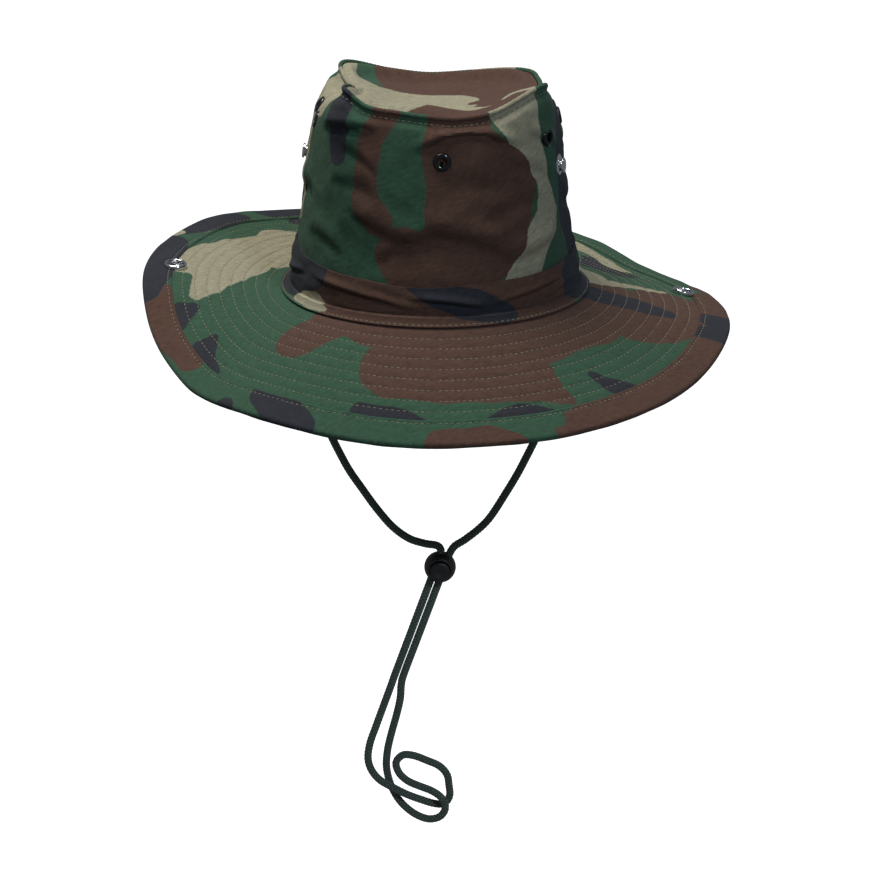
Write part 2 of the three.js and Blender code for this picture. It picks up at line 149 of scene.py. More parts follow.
# a grid is laid along a run and wrapped once round a closed section
def wrapCloth(name, across, around, place, clothUv, paint=None, joined=False, sharpAngle=48, holes=()):
    bm = bmesh.new()
    bmesh.ops.create_grid(bm, x_segments=across, y_segments=around, size=0.5)
    bm.verts.ensure_lookup_table()
    flat = np.array([v.co[:2] for v in bm.verts])
    low, high = flat.min(0), flat.max(0)
    run, row = ((flat - low) / (high - low)).T
    row = np.rint(row * around).astype(int)
    spots = place(run, row) * mm
    uv = clothUv(run, row)
    sheetUv = bm.loops.layers.uv.new("clothUv")
    for vert, spot in zip(bm.verts, spots):
        vert.co = spot
    for face in bm.faces:
        for loop in face.loops:
            loop[sheetUv].uv = uv[loop.vert.index]
    if paint:
        for colour, depth in paint(run, row).items():
            layer = bm.verts.layers.float.new(colour + "Print")
            for vert, value in zip(bm.verts, depth):
                vert[layer] = value
    bmesh.ops.remove_doubles(bm, verts=bm.verts, dist=2e-6)
    bmesh.ops.dissolve_degenerate(bm, dist=1e-7, edges=bm.edges)
    if not joined:
        bmesh.ops.holes_fill(bm, edges=[e for e in bm.edges if e.is_boundary], sides=0)
    for matrix, radius in holes:
        openHole(bm, matrix.inverted(), radius * mm)
    bmesh.ops.recalc_face_normals(bm, faces=bm.faces)
    return addPiece(name, bm, sharpAngle)


# both layers lose the faces round the hole's axis, and the two rims are joined
def openHole(bm, inverse, radius):
    gone = []
    for face in bm.faces:
        spot = inverse @ face.calc_center_median()
        if abs(spot.z) < 0.008 and math.hypot(spot.x, spot.y) < radius:
            gone.append(face)
    if not gone:
        return
    bmesh.ops.delete(bm, geom=gone, context="FACES")
    bmesh.ops.bridge_loops(bm, edges=[e for e in bm.edges if e.is_boundary])


def turnPiece(name, profile, segments, matrix, sharpAngle=40):
    bm = bmesh.new()
    verts = [bm.verts.new((r * mm, 0, h * mm)) for r, h in profile]
    edges = [bm.edges.new(pair) for pair in zip(verts, verts[1:])]
    bmesh.ops.spin(bm, geom=verts + edges, cent=(0, 0, 0), axis=(0, 0, 1), angle=math.tau,
                   steps=segments, use_merge=True)
    bmesh.ops.remove_doubles(bm, verts=bm.verts, dist=1e-6)
    bmesh.ops.recalc_face_normals(bm, faces=bm.faces)
    bmesh.ops.transform(bm, matrix=matrix, verts=bm.verts)
    return addPiece(name, bm, sharpAngle)


# the hat's own curves, millimetres; degrees run from the wearer's left, -90 is the front
hatShape = {
    "seamHalfWidth": 86.5, "seamHalfLength": 95.5,
    "topRadius": [(-90, 76.5), (-70, 78), (-45, 83.5), (-22, 70), (0, 64), (22, 68), (46, 79.5),
                  (70, 75.5),
                  (90, 73), (112, 73.5), (137, 75.5), (158, 60), (180, 50), (200, 52.5), (215, 61),
                  (231, 81),
                  (241, 80.5), (255, 77)],
    "shoulder": [(-90, 79), (-70, 80.5), (-44, 86.5), (-22, 77), (0, 71.5), (22, 74), (46, 80),
                 (70, 78), (90, 76),
                 (112, 77), (137, 80), (158, 76), (180, 69.5), (200, 72), (215, 78), (231, 84.5),
                 (250, 81)],
    "topHeight": [(-90, 115.2), (-80, 114.4), (-66, 117), (-44, 129.5), (-20, 124), (0, 121), (46, 121.5),
                  (90, 116.5), (112, 120), (137, 127.5), (160, 124), (180, 121), (205, 124), (231, 128.7),
                  (241, 120.6), (253, 117.8)],
    "brimRadius": [(-90, 172), (-70, 171.5), (-50, 173), (-28, 175), (-10, 178), (10, 177),
                   (40, 180), (62, 184),
                   (90, 187.5), (120, 184), (140, 180), (160, 177.5), (180, 175.5), (198, 174.5),
                   (212, 172.5),
                   (232, 172.5), (252, 173)],
    "brimHeight": [(-90, -49), (-70, -48), (-50, -43), (-28, -34), (-10, -22), (10, -19),
                   (25, -20.5), (40, -19.5),
                   (54, -8), (75, 3), (97, 7), (120, 10), (140, 17), (158, 14), (175, 9), (188, 1),
                   (197, -13),
                   (207, -27), (217, -37), (232, -40), (252, -45)],
    "bandTop": [(-90, 21), (-60, 23), (-30, 26), (0, 28.5), (50, 25), (90, 24), (130, 25), (180, 30),
                (210, 27.5),
                (240, 23.5)],
}
sideSeams = (-14, 190)


# smooth closed curve through (degrees, value) pairs
def ringValue(name, deg):
    table = hatShape[name]
    spots = np.array([p[0] for p in table], float)
    values = np.array([p[1] for p in table], float)
    n = len(table)
    spots = np.concatenate([[spots[-1] - 360], spots, spots[:2] + 360])
    values = np.concatenate([[values[-1]], values, values[:2]])
    x = (np.asarray(deg, float) - table[0][0]) % 360 + table[0][0]
    i = np.clip(np.searchsorted(spots, x, side="right") - 1, 1, n)
    width = spots[i + 1] - spots[i]
    u = (x - spots[i]) / width
    rise0 = (values[i + 1] - values[i - 1]) / (spots[i + 1] - spots[i - 1]) * width
    rise1 = (values[i + 2] - values[i]) / (spots[i + 2] - spots[i]) * width
    return ((2 * u**3 - 3 * u**2 + 1) * values[i] + (u**3 - 2 * u**2 + u) * rise0
            + (3 * u**2 - 2 * u**3) * values[i + 1] + (u**3 - u**2) * rise1)


def seamRadius(deg):
    a, b = hatShape["seamHalfWidth"], hatShape["seamHalfLength"]
    return a * b / np.hypot(b * np.cos(np.radians(deg)), a * np.sin(np.radians(deg)))


def crownRadius(deg, z):
    t = np.clip(z / ringValue("topHeight", deg), 0, 1)
    foot, high = seamRadius(deg), ringValue("shoulder", deg)
    return foot + (high - foot) * t + (ringValue("topRadius", deg) - high) * t**16


def polar(deg, r, z):
    a = np.radians(deg)
    return np.stack([r * np.cos(a), r * np.sin(a), z + 0 * a], -1)


def brimPoint(deg, along, lift):
    r0, r1, drop = seamRadius(deg), ringValue("brimRadius", deg), ringValue("brimHeight", deg)
    s = np.maximum(along, 0)
    slope = np.arctan2(drop * 1.08 * (s * s + 0.16 * s) / (s + 0.08) ** 2, r1 - r0)
    return polar(deg, r0 + (r1 - r0) * along - lift * np.sin(slope),
                 drop * 1.08 * s * s / (s + 0.08) + lift * np.cos(slope))


def bump(x, centre, spread):
    return np.exp(-(((x - centre) / spread) ** 2))


# slow uneven wave, the same every run
def ripple(x, y, size, seed):
    a = x / size
    b = y / size
    return (np.sin(1.7 * a + 0.9 * b + seed) + np.sin(-1.1 * a + 2.1 * b + 2.3 * seed)
            + 0.6 * np.sin(3.1 * a - 1.3 * b + 4.1 * seed)
            + 0.5 * np.sin(2.3 * a + 3.7 * b + 0.7 * seed)) / 3.1


# material and body of a finished piece; the CAD nodes it replaces are hidden
def dress(piece, material, nodes, body=None):
    piece.data.materials.append(material)
    if body:
        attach(piece, body)
    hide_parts(*nodes)


print("camera and lights")
placeCamera()
buildWorld()
layFloor()
hangLamp("overheadSoftbox", studio["overhead"])
hangLamp("frontFill", studio["front"])

# chin cord
cord = {
    "radius": 2.42, "braidDepth": 0.22, "diamondsRound": 6, "diamondLength": 2.3,
    "stepsPerSpan": 24, "around": 28,
    "lock": (3.5, -4, -182), "tilt": 19.5, "strand": 2.65,
    "leftStrand": [(-78.2, -4, 6), (-78.2, -4, -12), (-76.8, -4, -38), (-70.8, -4, -77),
                   (-56.4, -4, -111.5),
                   (-44.4, -4, -131), (-35, -4, -144.6), (-26, -4, -155.4), (-16, -4, -163),
                   (-6, -4, -166.4),
                   (0.8, -4, -167.5), (3.5, -4, -169.5)],
    "tail": [(-28.4, -4.3, -264.6), (-32.7, -5, -276.7), (-37.5, -6, -290.3), (-41.4, -7.5, -301.5),
             (-42.8, -8.5, -311.6), (-40.6, -9, -319.8), (-35.2, -9, -326.9), (-26.8, -8.6, -332.4),
             (-17.8, -7.4, -337.9), (-8.8, -5.6, -342.4), (-0.3, -3.4, -346.3), (6.2, -1.6, -347.2),
             (9.8, -1.2, -342), (9.4, -2.2, -333.7), (8, -3.8, -325.4), (3, -4.6, -319), (-4.8, -5, -315),
             (-13.2, -5, -311.6), (-20.4, -5, -311.2), (-24.8, -5.2, -316.4), (-22.8, -5.6, -323.6),
             (-17.1, -6.4, -328.9), (-9.4, -7.4, -332.1), (-1.6, -8.6, -334.9), (4.6, -9.6, -339.4),
             (7, -9.6, -346.5), (3.6, -9, -352.8), (-3.6, -7.6, -355.3), (-12, -5.8, -353),
             (-19.8, -3.6, -347.6),
             (-25.3, -2.2, -340.5), (-29.2, -1.8, -331), (-31.1, -2.2, -320.2), (-30.3, -2.6, -308.7),
             (-27.7, -3, -296.5), (-24.4, -3.4, -283.7), (-22, -3.7, -272.4), (-21.2, -3.9, -262)],
    "rightStrand": [(12.6, -4, -168.2), (18.8, -4, -164), (27.6, -4, -156.8), (34.4, -4, -149.4),
                    (42.6, -4, -136.2), (55, -4, -113.5), (68.6, -4, -81), (76.2, -4, -40),
                    (78.1, -4, -12), (78.2, -4, 6)],
}
lockTilt = math.radians(cord["tilt"])
lockDown = np.array([-math.sin(lockTilt), 0, -math.cos(lockTilt)])
lockAcross = np.array([math.cos(lockTilt), 0, -math.sin(lockTilt)])


def cordRoute():
    centre = np.array(cord["lock"], float)
    inLock = lambda k, side: tuple(centre + lockDown * k + lockAcross * side * cord["strand"])
    points = (cord["leftStrand"] + [inLock(k, -1) for k in (-8.8, -4, 4, 20, 50, 76)] + cord["tail"]
              + [inLock(k, 1) for k in (76, 50, 20, 4, -4, -10)] + cord["rightStrand"])
    p = np.array(points, float)
    p = np.vstack([2 * p[0] - p[1], p, 2 * p[-1] - p[-2]])
    u = np.linspace(0, 1, cord["stepsPerSpan"], endpoint=False)[:, None]
    spans = []
    for i in range(1, len(p) - 2):
        m0, m1 = (p[i + 1] - p[i - 1]) / 2, (p[i + 2] - p[i]) / 2
        spans.append((2 * u**3 - 3 * u**2 + 1) * p[i] + (u**3 - 2 * u**2 + u) * m0
                     + (3 * u**2 - 2 * u**3) * p[i + 1] + (u**3 - u**2) * m1)
    return np.vstack(spans + [p[-2][None]])


def braidCord():
    fine = cordRoute()
    travelled = np.concatenate([[0], np.cumsum(np.linalg.norm(np.diff(fine, axis=0), axis=1))])
    length = travelled[-1]
    count = int(length / 0.5)
    stops = np.linspace(0, length, count + 1)
    line = np.stack([np.interp(stops, travelled, fine[:, k]) for k in range(3)], -1)
    along = np.gradient(line, axis=0)
    along /= np.linalg.norm(along, axis=1)[:, None]
    side = np.zeros_like(line)
    side[0] = (0, 1, 0)
    for i in range(1, count + 1):
        side[i] = side[i - 1] - along[i] * np.dot(side[i - 1], along[i])
        side[i] /= np.linalg.norm(side[i])
    up = np.cross(along, side)

    def place(run, row):
        i = np.rint(run * count).astype(int)
        turn = row / cord["around"]
        step = stops[i] / cord["diamondLength"]
        weave = (np.abs(np.sin(math.pi * (step + cord["diamondsRound"] * turn)))
                 * np.abs(np.sin(math.pi * (step - cord["diamondsRound"] * turn))))
        r = (cord["radius"] + cord["braidDepth"] * (weave - 0.35))[:, None]
        a = (turn * math.tau)[:, None]
        return line[i] + r * (np.cos(a) * side[i] + np.sin(a) * up[i])

    uv = lambda run, row: np.stack([run * length * mm, row / cord["around"]], -1)
    piece = wrapCloth("chinCord", count, cord["around"], place, uv, sharpAngle=None)
    piece.data.materials.append(makeBraid())
    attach(piece, "chin_cord")
    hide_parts("chin_cord")
    return piece


# materials
clothColours = {
    "green": (0.026, 0.064, 0.036), "brown": (0.066, 0.033, 0.022), "khaki": (0.235, 0.215, 0.145),
    "navy": (0.017, 0.018, 0.023), "edgeFuzz": 0.32,
}


# make(kind, ...) adds a node: in_ values go to its inputs, on_ outputs are linked to them
def nodeKit(tree):
    def make(kind, **given):
        node = tree.nodes.new(kind)
        for key, value in given.items():
            if key[:3] not in ("in_", "on_"):
                setattr(node, key, value)
                continue
            name = key[3:]
            socket = node.inputs[int(name) if name.isdigit() else name.replace("_", " ")]
            if key.startswith("in_"):
                socket.default_value = value
            else:
                tree.links.new(value, socket)
        return node

    return make, tree.links.new


def newGroup(name, takes, gives):
    group = bpy.data.node_groups.new(name, "ShaderNodeTree")
    for label, kind, start in takes:
        socket = group.interface.new_socket(name=label, in_out="INPUT", socket_type=kind)
        if start is not None:
            socket.default_value = start
    for label, kind in gives:
        group.interface.new_socket(name=label, in_out="OUTPUT", socket_type=kind)
    return group, group.nodes.new("NodeGroupInput"), group.nodes.new("NodeGroupOutput")


def useGroup(tree, group, **values):
    node = tree.nodes.new("ShaderNodeGroup")
    node.node_tree = group
    for key, value in values.items():
        node.inputs[key].default_value = value
    return node


# printed colours: each print depth is millimetres inside its own blot
def makePrintGroup():
    group, given, out = newGroup("camouflagePrint", [
        ("Brown Depth", "NodeSocketFloat", 0.0), ("Khaki Depth", "NodeSocketFloat", 0.0),
        ("Navy Depth", "NodeSocketFloat", 0.0), ("Cloth", "NodeSocketVector", None)],
        [("Colour", "NodeSocketColor")])
    make, link = nodeKit(group)
    fuzz = make("ShaderNodeTexNoise", in_Scale=1100.0, in_Detail=2.0, on_Vector=given.outputs["Cloth"])
    offset = make("ShaderNodeMapRange", in_From_Min=0.3, in_From_Max=0.7,
                  in_To_Min=-clothColours["edgeFuzz"], in_To_Max=clothColours["edgeFuzz"],
                  on_Value=fuzz.outputs["Fac"])
    colour = None
    for label, sign in (("brown", 1.0), ("khaki", -1.0), ("navy", 1.0)):
        shifted = make("ShaderNodeMath", operation="MULTIPLY_ADD", in_1=sign,
                       on_0=offset.outputs["Result"], on_2=given.outputs[label.capitalize() + " Depth"])
        mask = make("ShaderNodeMapRange", interpolation_type="SMOOTHSTEP", in_From_Min=-0.35,
                    in_From_Max=0.35, on_Value=shifted.outputs[0])
        mix = make("ShaderNodeMix", data_type="RGBA", in_6=(*clothColours["green"], 1),
                   in_7=(*clothColours[label], 1), on_0=mask.outputs["Result"])
        if colour:
            link(colour.outputs[2], mix.inputs[6])
        colour = mix
    link(colour.outputs[2], out.inputs["Colour"])
    return group


# twill: slanting ribs of thread, with slubs; the colour darkens between ribs as painted shade in the grooves,
# and the slubs vary it as thread grain
def makeTwillGroup():
    group, given, out = newGroup("twillWeave", [
        ("Cloth", "NodeSocketVector", None), ("Ribs Per Metre", "NodeSocketFloat", 1500.0)],
        [("Height", "NodeSocketFloat"), ("Shade", "NodeSocketFloat")])
    make, link = nodeKit(group)
    turned = make("ShaderNodeMapping", in_Rotation=(0, 0, math.radians(63)),
                  on_Vector=given.outputs["Cloth"])
    scaled = make("ShaderNodeVectorMath", operation="SCALE", on_0=turned.outputs[0],
                  on_Scale=given.outputs["Ribs Per Metre"])
    ribs = make("ShaderNodeTexWave", wave_type="BANDS", bands_direction="X", wave_profile="SIN",
                in_Scale=0.314, in_Distortion=2.6, in_Detail=2.0, in_Detail_Scale=1.4,
                on_Vector=scaled.outputs[0])
    slub = make("ShaderNodeTexNoise", in_Scale=0.27, in_Detail=3.0, in_Roughness=0.7)
    stretch = make("ShaderNodeVectorMath", operation="MULTIPLY", in_1=(1.0, 0.35, 1.0),
                   on_0=scaled.outputs[0])
    link(stretch.outputs[0], slub.inputs["Vector"])
    height = make("ShaderNodeMath", operation="MULTIPLY_ADD", in_1=2.8, on_0=slub.outputs["Fac"],
                  on_2=ribs.outputs["Fac"])
    # painted shade: colour darkened where the weave sinks between the ribs; the slub part is random thread
    # grain
    shade = make("ShaderNodeMapRange", in_From_Min=1.0, in_From_Max=2.8, in_To_Min=0.62, in_To_Max=1.38,
                 on_Value=height.outputs[0])
    link(height.outputs[0], out.inputs["Height"])
    link(shade.outputs[0], out.inputs["Shade"])
    return group


# slow fading of dyed cloth
def makeWearGroup():
    group, given, out = newGroup("dyeFade", [
        ("Cloth", "NodeSocketVector", None), ("Amount", "NodeSocketFloat", 0.12)],
        [("Shade", "NodeSocketFloat")])
    make, link = nodeKit(group)
    slow = make("ShaderNodeTexNoise", in_Scale=26.0, in_Detail=4.0, on_Vector=given.outputs["Cloth"])
    centred = make("ShaderNodeMath", operation="SUBTRACT", in_1=0.5, on_0=slow.outputs["Fac"])
    shade = make("ShaderNodeMath", operation="MULTIPLY_ADD", in_2=1.0, on_0=centred.outputs[0],
                 on_1=given.outputs["Amount"])
    link(shade.outputs[0], out.inputs["Shade"])
    return group


printGroup = makePrintGroup()
twillGroup = makeTwillGroup()
wearGroup = makeWearGroup()


def newMaterial(name, roughness, metallic=0.0, sheen=0.0):
    material = bpy.data.materials.new(name)
    material.use_nodes = True
    tree = material.node_tree
    shader = tree.nodes["Principled BSDF"]
    shader.inputs["Roughness"].default_value = roughness
    shader.inputs["Metallic"].default_value = metallic
    if sheen:
        shader.inputs["Sheen Weight"].default_value = sheen
        shader.inputs["Sheen Roughness"].default_value = 0.6
        shader.inputs["Specular IOR Level"].default_value = 0.2
    return material, tree, shader


def shadeCloth(tree, shader, ribs, relief):
    make, link = nodeKit(tree)
    uv = make("ShaderNodeUVMap", uv_map="clothUv")
    twill = useGroup(tree, twillGroup, **{"Ribs Per Metre": ribs})
    wear = useGroup(tree, wearGroup)
    link(uv.outputs[0], twill.inputs["Cloth"])
    link(uv.outputs[0], wear.inputs["Cloth"])
    # painted groove shade of the twill, times the random dye fade
    shade = make("ShaderNodeMath", operation="MULTIPLY", on_0=twill.outputs["Shade"],
                 on_1=wear.outputs["Shade"])
    dyedAndGrooveShaded = make("ShaderNodeVectorMath", operation="SCALE", on_Scale=shade.outputs[0])
    link(dyedAndGrooveShaded.outputs[0], shader.inputs["Base Color"])
    weave = make("ShaderNodeBump", in_Strength=relief, in_Distance=0.00025,
                 on_Height=twill.outputs["Height"])
    link(weave.outputs[0], shader.inputs["Normal"])
    return uv, dyedAndGrooveShaded


def makeCamouflage():
    material, tree, shader = newMaterial("camouflageTwill", 0.92, sheen=0.03)
    make, link = nodeKit(tree)
    uv, dyedAndGrooveShaded = shadeCloth(tree, shader, 2100.0, 0.45)
    colours = useGroup(tree, printGroup)
    for label in ("brown", "khaki", "navy"):
        depth = make("ShaderNodeAttribute", attribute_name=label + "Print")
        link(depth.outputs["Fac"], colours.inputs[label.capitalize() + " Depth"])
    link(uv.outputs[0], colours.inputs["Cloth"])
    link(colours.outputs[0], dyedAndGrooveShaded.inputs[0])
    return material


def makePlainCloth(name, colour, ribs, roughness=0.9):
    material, tree, shader = newMaterial(name, roughness, sheen=0.15)
    dyedAndGrooveShaded = shadeCloth(tree, shader, ribs, 0.6)[1]
    dyedAndGrooveShaded.inputs[0].default_value = colour
    return material


def makeThread():
    material, tree, shader = newMaterial("tanThread", 0.7, sheen=0.1)
    make, link = nodeKit(tree)
    spot = make("ShaderNodeTexCoord")
    slow = make("ShaderNodeTexNoise", in_Scale=300.0, in_Detail=1.0, on_Vector=spot.outputs["Object"])
    ramp = make("ShaderNodeMix", data_type="RGBA", in_6=(0.075, 0.068, 0.040, 1),
                in_7=(0.27, 0.235, 0.145, 1), on_0=slow.outputs["Fac"])
    link(ramp.outputs[2], shader.inputs["Base Color"])
    return material


def makeBraid():
    material, tree, shader = newMaterial("braidedGreenCord", 0.85, sheen=0.2)
    make, link = nodeKit(tree)
    uv = make("ShaderNodeUVMap", uv_map="clothUv")
    strands = make("ShaderNodeMapping", in_Scale=(1000 / cord["diamondLength"], cord["diamondsRound"], 1),
                   on_Vector=uv.outputs[0])
    parts = make("ShaderNodeSeparateXYZ", on_0=strands.outputs[0])
    waves = []
    for sign in (1.0, -1.0):
        angle = make("ShaderNodeMath", operation="MULTIPLY_ADD", in_1=sign, on_0=parts.outputs["Y"],
                     on_2=parts.outputs["X"])
        turn = make("ShaderNodeMath", operation="MULTIPLY", in_1=math.pi, on_0=angle.outputs[0])
        wave = make("ShaderNodeMath", operation="SINE", on_0=turn.outputs[0])
        size = make("ShaderNodeMath", operation="ABSOLUTE", on_0=wave.outputs[0])
        waves.append(size)
    # painted shade: the colour darkens in the grooves between braided strands, where this cross pattern falls
    # to zero; the noise adds random lighter strands
    cross = make("ShaderNodeMath", operation="MULTIPLY", on_0=waves[0].outputs[0],
                 on_1=waves[1].outputs[0])
    fleck = make("ShaderNodeTexNoise", in_Scale=900.0, in_Detail=2.0)
    spot = make("ShaderNodeTexCoord")
    link(spot.outputs["Object"], fleck.inputs["Vector"])
    grooveShadeAndFleck = make("ShaderNodeMath", operation="MULTIPLY", on_0=cross.outputs[0], on_1=fleck.outputs["Fac"])
    colour = make("ShaderNodeMix", data_type="RGBA", in_6=(0.030, 0.042, 0.032, 1),
                  in_7=(0.22, 0.29, 0.215, 1), on_0=grooveShadeAndFleck.outputs[0])
    link(colour.outputs[2], shader.inputs["Base Color"])
    fibre = make("ShaderNodeBump", in_Strength=0.5, in_Distance=0.0002, on_Height=fleck.outputs["Fac"])
    link(fibre.outputs[0], shader.inputs["Normal"])
    return material


def makeHard(name, dark, light, roughness, metallic, scale, relief):
    material, tree, shader = newMaterial(name, roughness, metallic)
    make, link = nodeKit(tree)
    spot = make("ShaderNodeTexCoord")
    cloud = make("ShaderNodeTexNoise", in_Scale=scale, in_Detail=4.0, on_Vector=spot.outputs["Object"])
    colour = make("ShaderNodeMix", data_type="RGBA", in_6=(*dark, 1), in_7=(*light, 1),
                  on_0=cloud.outputs["Fac"])
    link(colour.outputs[2], shader.inputs["Base Color"])
    wear = make("ShaderNodeMapRange", in_To_Min=roughness * 0.75, in_To_Max=roughness * 1.35,
                on_Value=cloud.outputs["Fac"])
    link(wear.outputs[0], shader.inputs["Roughness"])
    grain = make("ShaderNodeBump", in_Strength=relief, in_Distance=0.0001, on_Height=cloud.outputs["Fac"])
    link(grain.outputs[0], shader.inputs["Normal"])
    return material


camouflage = makeCamouflage()
tanThread = makeThread()
oliveTape = makePlainCloth("oliveTape", (0.022, 0.030, 0.018), 900.0)
labelTape = makePlainCloth("blankLabelTape", (0.62, 0.60, 0.53), 2200.0)
chrome = makeHard("snapMetal", (0.62, 0.62, 0.64), (0.80, 0.80, 0.82), 0.16, 1.0, 180.0, 0.1)
steel = makeHard("plainSteel", (0.42, 0.43, 0.45), (0.58, 0.59, 0.61), 0.3, 1.0, 260.0, 0.15)
enamel = makeHard("blackEnamel", (0.006, 0.006, 0.007), (0.012, 0.012, 0.014), 0.14, 0.3, 220.0, 0.1)
lockPlastic = makeHard("lockPlastic", (0.010, 0.009, 0.008),
                       (0.026, 0.022, 0.018), 0.42, 0.0, 420.0, 0.35)

# camouflage blots: colour, then (degrees, place, radius in mm) points painted in this order
printColours = ("brown", "khaki", "navy")


def blotDepth(chain, toPlane, x, y):
    spots = np.array([toPlane(*point[:2]) for point in chain], float)
    radii = np.array([c[2] for c in chain], float)
    depth = np.full(x.shape, -99.0)
    for i in range(max(1, len(chain) - 1)):
        j = min(i + 1, len(chain) - 1)
        d = spots[j] - spots[i]
        t = np.clip(((x - spots[i][0]) * d[0] + (y - spots[i][1]) * d[1]) / max(d @ d, 1e-9), 0, 1)
        gap = np.hypot(x - spots[i][0] - t * d[0], y - spots[i][1] - t * d[1])
        depth = np.maximum(depth, radii[i] + (radii[j] - radii[i]) * t - gap)
    return depth


# the print swirls more freely round the back, in millimetres
def looseness(deg, height):
    return 10 * np.clip(np.sin(np.radians(deg)) * 2.2, 0, 1) + 0 * height


def paintBlots(blots, toPlane, a, b, seed, turns=(0,)):
    depths = {colour: np.full(np.shape(a), -6.0) for colour in printColours}
    x0, y0 = toPlane(a, b)
    wobble = 1.3
    swirl = 0 * x0 if toPlane is topPlane else looseness(a, b)
    swayX, swayY = swirl * ripple(x0, y0, 27, seed + 2), swirl * ripple(y0, x0, 24, seed + 3)
    for colour, chain in blots:
        inside = np.full(np.shape(a), -99.0)
        for turn in turns:
            x, y = toPlane(a + turn, b) if turn else (x0, y0)
            x = x + wobble * ripple(x0, y0, 13, seed) + swayX
            y = y + wobble * ripple(y0, x0, 11, seed + 1) + swayY
            inside = np.maximum(inside, blotDepth(chain, toPlane, x, y))
        level = printColours.index(colour) if colour in printColours else -1
        if level >= 0:
            depths[colour] = np.maximum(depths[colour], inside)
        for above in printColours[level + 1:]:
            depths[above] = np.minimum(depths[above], -inside)
    return {colour: np.clip(depth, -6, 6) for colour, depth in depths.items()}


brimPlane = lambda deg, s: ((90 + 85 * s) * np.cos(np.radians(deg)),
                            (90 + 85 * s) * np.sin(np.radians(deg)))
wallPlane = lambda deg, z: (1.43 * np.asarray(deg, float), np.asarray(z, float))
topPlane = lambda x, y: (np.asarray(x, float), np.asarray(y, float))

brimBlots = [
    ("brown", [(-131, 0.33, 14.5), (-127, 0.2, 14), (-120, 0.08, 12)]),
    ("brown", [(-128, 0.06, 12), (-110, 0.1, 14), (-90, 0.2, 20), (-60, 0.2, 22), (-35, 0.2, 22),
               (-5, 0.2, 20)]),
    ("brown", [(-100, 0.42, 20), (-88, 0.44, 20), (-76, 0.45, 21), (-68, 0.52, 18), (-62.5, 0.68, 8),
               (-60.5, 0.76, 3)]),
    ("brown", [(-20, 0.42, 26), (-12, 0.62, 24), (-4, 0.84, 20), (0, 0.6, 18)]),
    ("green", [(-54, 0.66, 15.5), (-46, 0.65, 15), (-36, 0.72, 12), (-27, 0.79, 6)]),
    ("green", [(-117, 0.5, 9), (-116, 0.36, 7)]),
    ("khaki", [(-226, 0.45, 10), (-216, 0.46, 17), (-206, 0.5, 22), (-197, 0.53, 29),
               (-189, 0.55, 29), (-181, 0.55, 18),
               (-174, 0.57, 10), (-169.5, 0.66, 4)]),
    ("khaki", [(-203, 0.25, 15), (-212, 0.2, 17), (-222, 0.1, 14)]),
    ("green", [(-178.5, 0.76, 7.5), (-171, 0.79, 8)]),
    ("green", [(-190, 0.08, 9), (-180, 0.18, 10), (-168, 0.3, 12)]),
    ("navy", [(-163, 0.86, 11), (-164.5, 0.77, 8), (-165.5, 0.69, 4)]),
    ("navy", [(-144, 0.86, 7), (-149, 0.83, 10), (-151.5, 0.75, 8), (-153, 0.67, 3.5)]),
    ("navy", [(-105, 0.79, 5.5), (-99, 0.795, 6), (-94, 0.82, 3.5), (-90, 0.85, 1)]),
    ("navy", [(-80, 0.845, 1.5), (-76, 0.8, 4), (-72, 0.785, 5), (-68, 0.81, 4), (-64.5, 0.825, 1.5)]),
    ("navy", [(-46, 0.87, 9), (-48.5, 0.76, 6), (-51, 0.62, 2.5)]),
    ("navy", [(-11, 0.6, 6), (-11, 0.45, 9.5), (-12, 0.2, 12), (-12, 0.0, 14)]),
    ("khaki", [(6, 0.12, 8), (7.5, 0.3, 7.5), (8.5, 0.45, 5.5), (8, 0.6, 3.5)]),
    ("khaki", [(10, 0.14, 7), (24, 0.18, 6), (40, 0.3, 9)]),
    ("khaki", [(32, 0.6, 5), (45, 0.66, 7), (60, 0.74, 9)]),
    ("navy", [(24, 0.5, 5), (34, 0.47, 8), (44, 0.5, 6)]),
    ("brown", [(66, 0.2, 15), (72, 0.45, 17), (84, 0.6, 15), (96, 0.5, 9)]),
    ("navy", [(60, 0.9, 6), (72, 0.88, 9), (80, 0.82, 5)]),
    ("khaki", [(98, 0.72, 13), (108, 0.55, 12), (117, 0.42, 14), (122, 0.2, 10)]),
    ("navy", [(88, 0.16, 8), (99, 0.24, 10), (106, 0.2, 6)]),
    ("brown", [(114, 0.8, 9), (118, 0.55, 12), (116, 0.3, 9)]),
    ("navy", [(112, 0.9, 6), (120, 0.83, 9), (124, 0.72, 5)]),
]
hemBlots = [
    ("brown", [(-170, 0.9, 12), (-158, 0.88, 12), (-150, 0.88, 9)]),
    ("navy", [(-218, 0.95, 13), (-206, 0.98, 6)]),
    ("khaki", [(-206, 1.0, 5), (-202, 1.03, 5)]),
    ("navy", [(-199, 0.94, 9), (-190, 0.94, 12), (-178, 0.97, 13), (-171, 1.0, 9)]),
    ("navy", [(-126, 0.83, 10), (-120, 0.93, 11), (-116, 1.02, 11)]),
    ("navy", [(-133, 1.03, 7)]),
    ("brown", [(-89, 1.0, 9), (-80, 0.99, 10), (-75, 1.03, 7)]),
    ("brown", [(-63, 1.0, 12), (-50, 0.95, 16), (-30, 0.93, 16), (-10, 0.93, 16), (8, 0.95, 12)]),
    ("green", [(-66, 0.88, 6), (-72, 0.9, 8)]),
    ("navy", [(-15, 0.84, 8), (-14, 0.95, 9), (-12, 1.05, 9), (-8, 0.84, 7), (-7, 1.05, 7)]),
    ("brown", [(14, 0.98, 6), (20, 1.02, 4)]),
    ("khaki", [(66, 0.9, 8), (78, 0.95, 13), (86, 1.0, 8)]),
    ("navy", [(92, 0.9, 12), (102, 0.98, 10)]),
    ("brown", [(104, 0.95, 12)]),
    ("navy", [(124, 0.95, 10), (130, 1.0, 9)]),
]
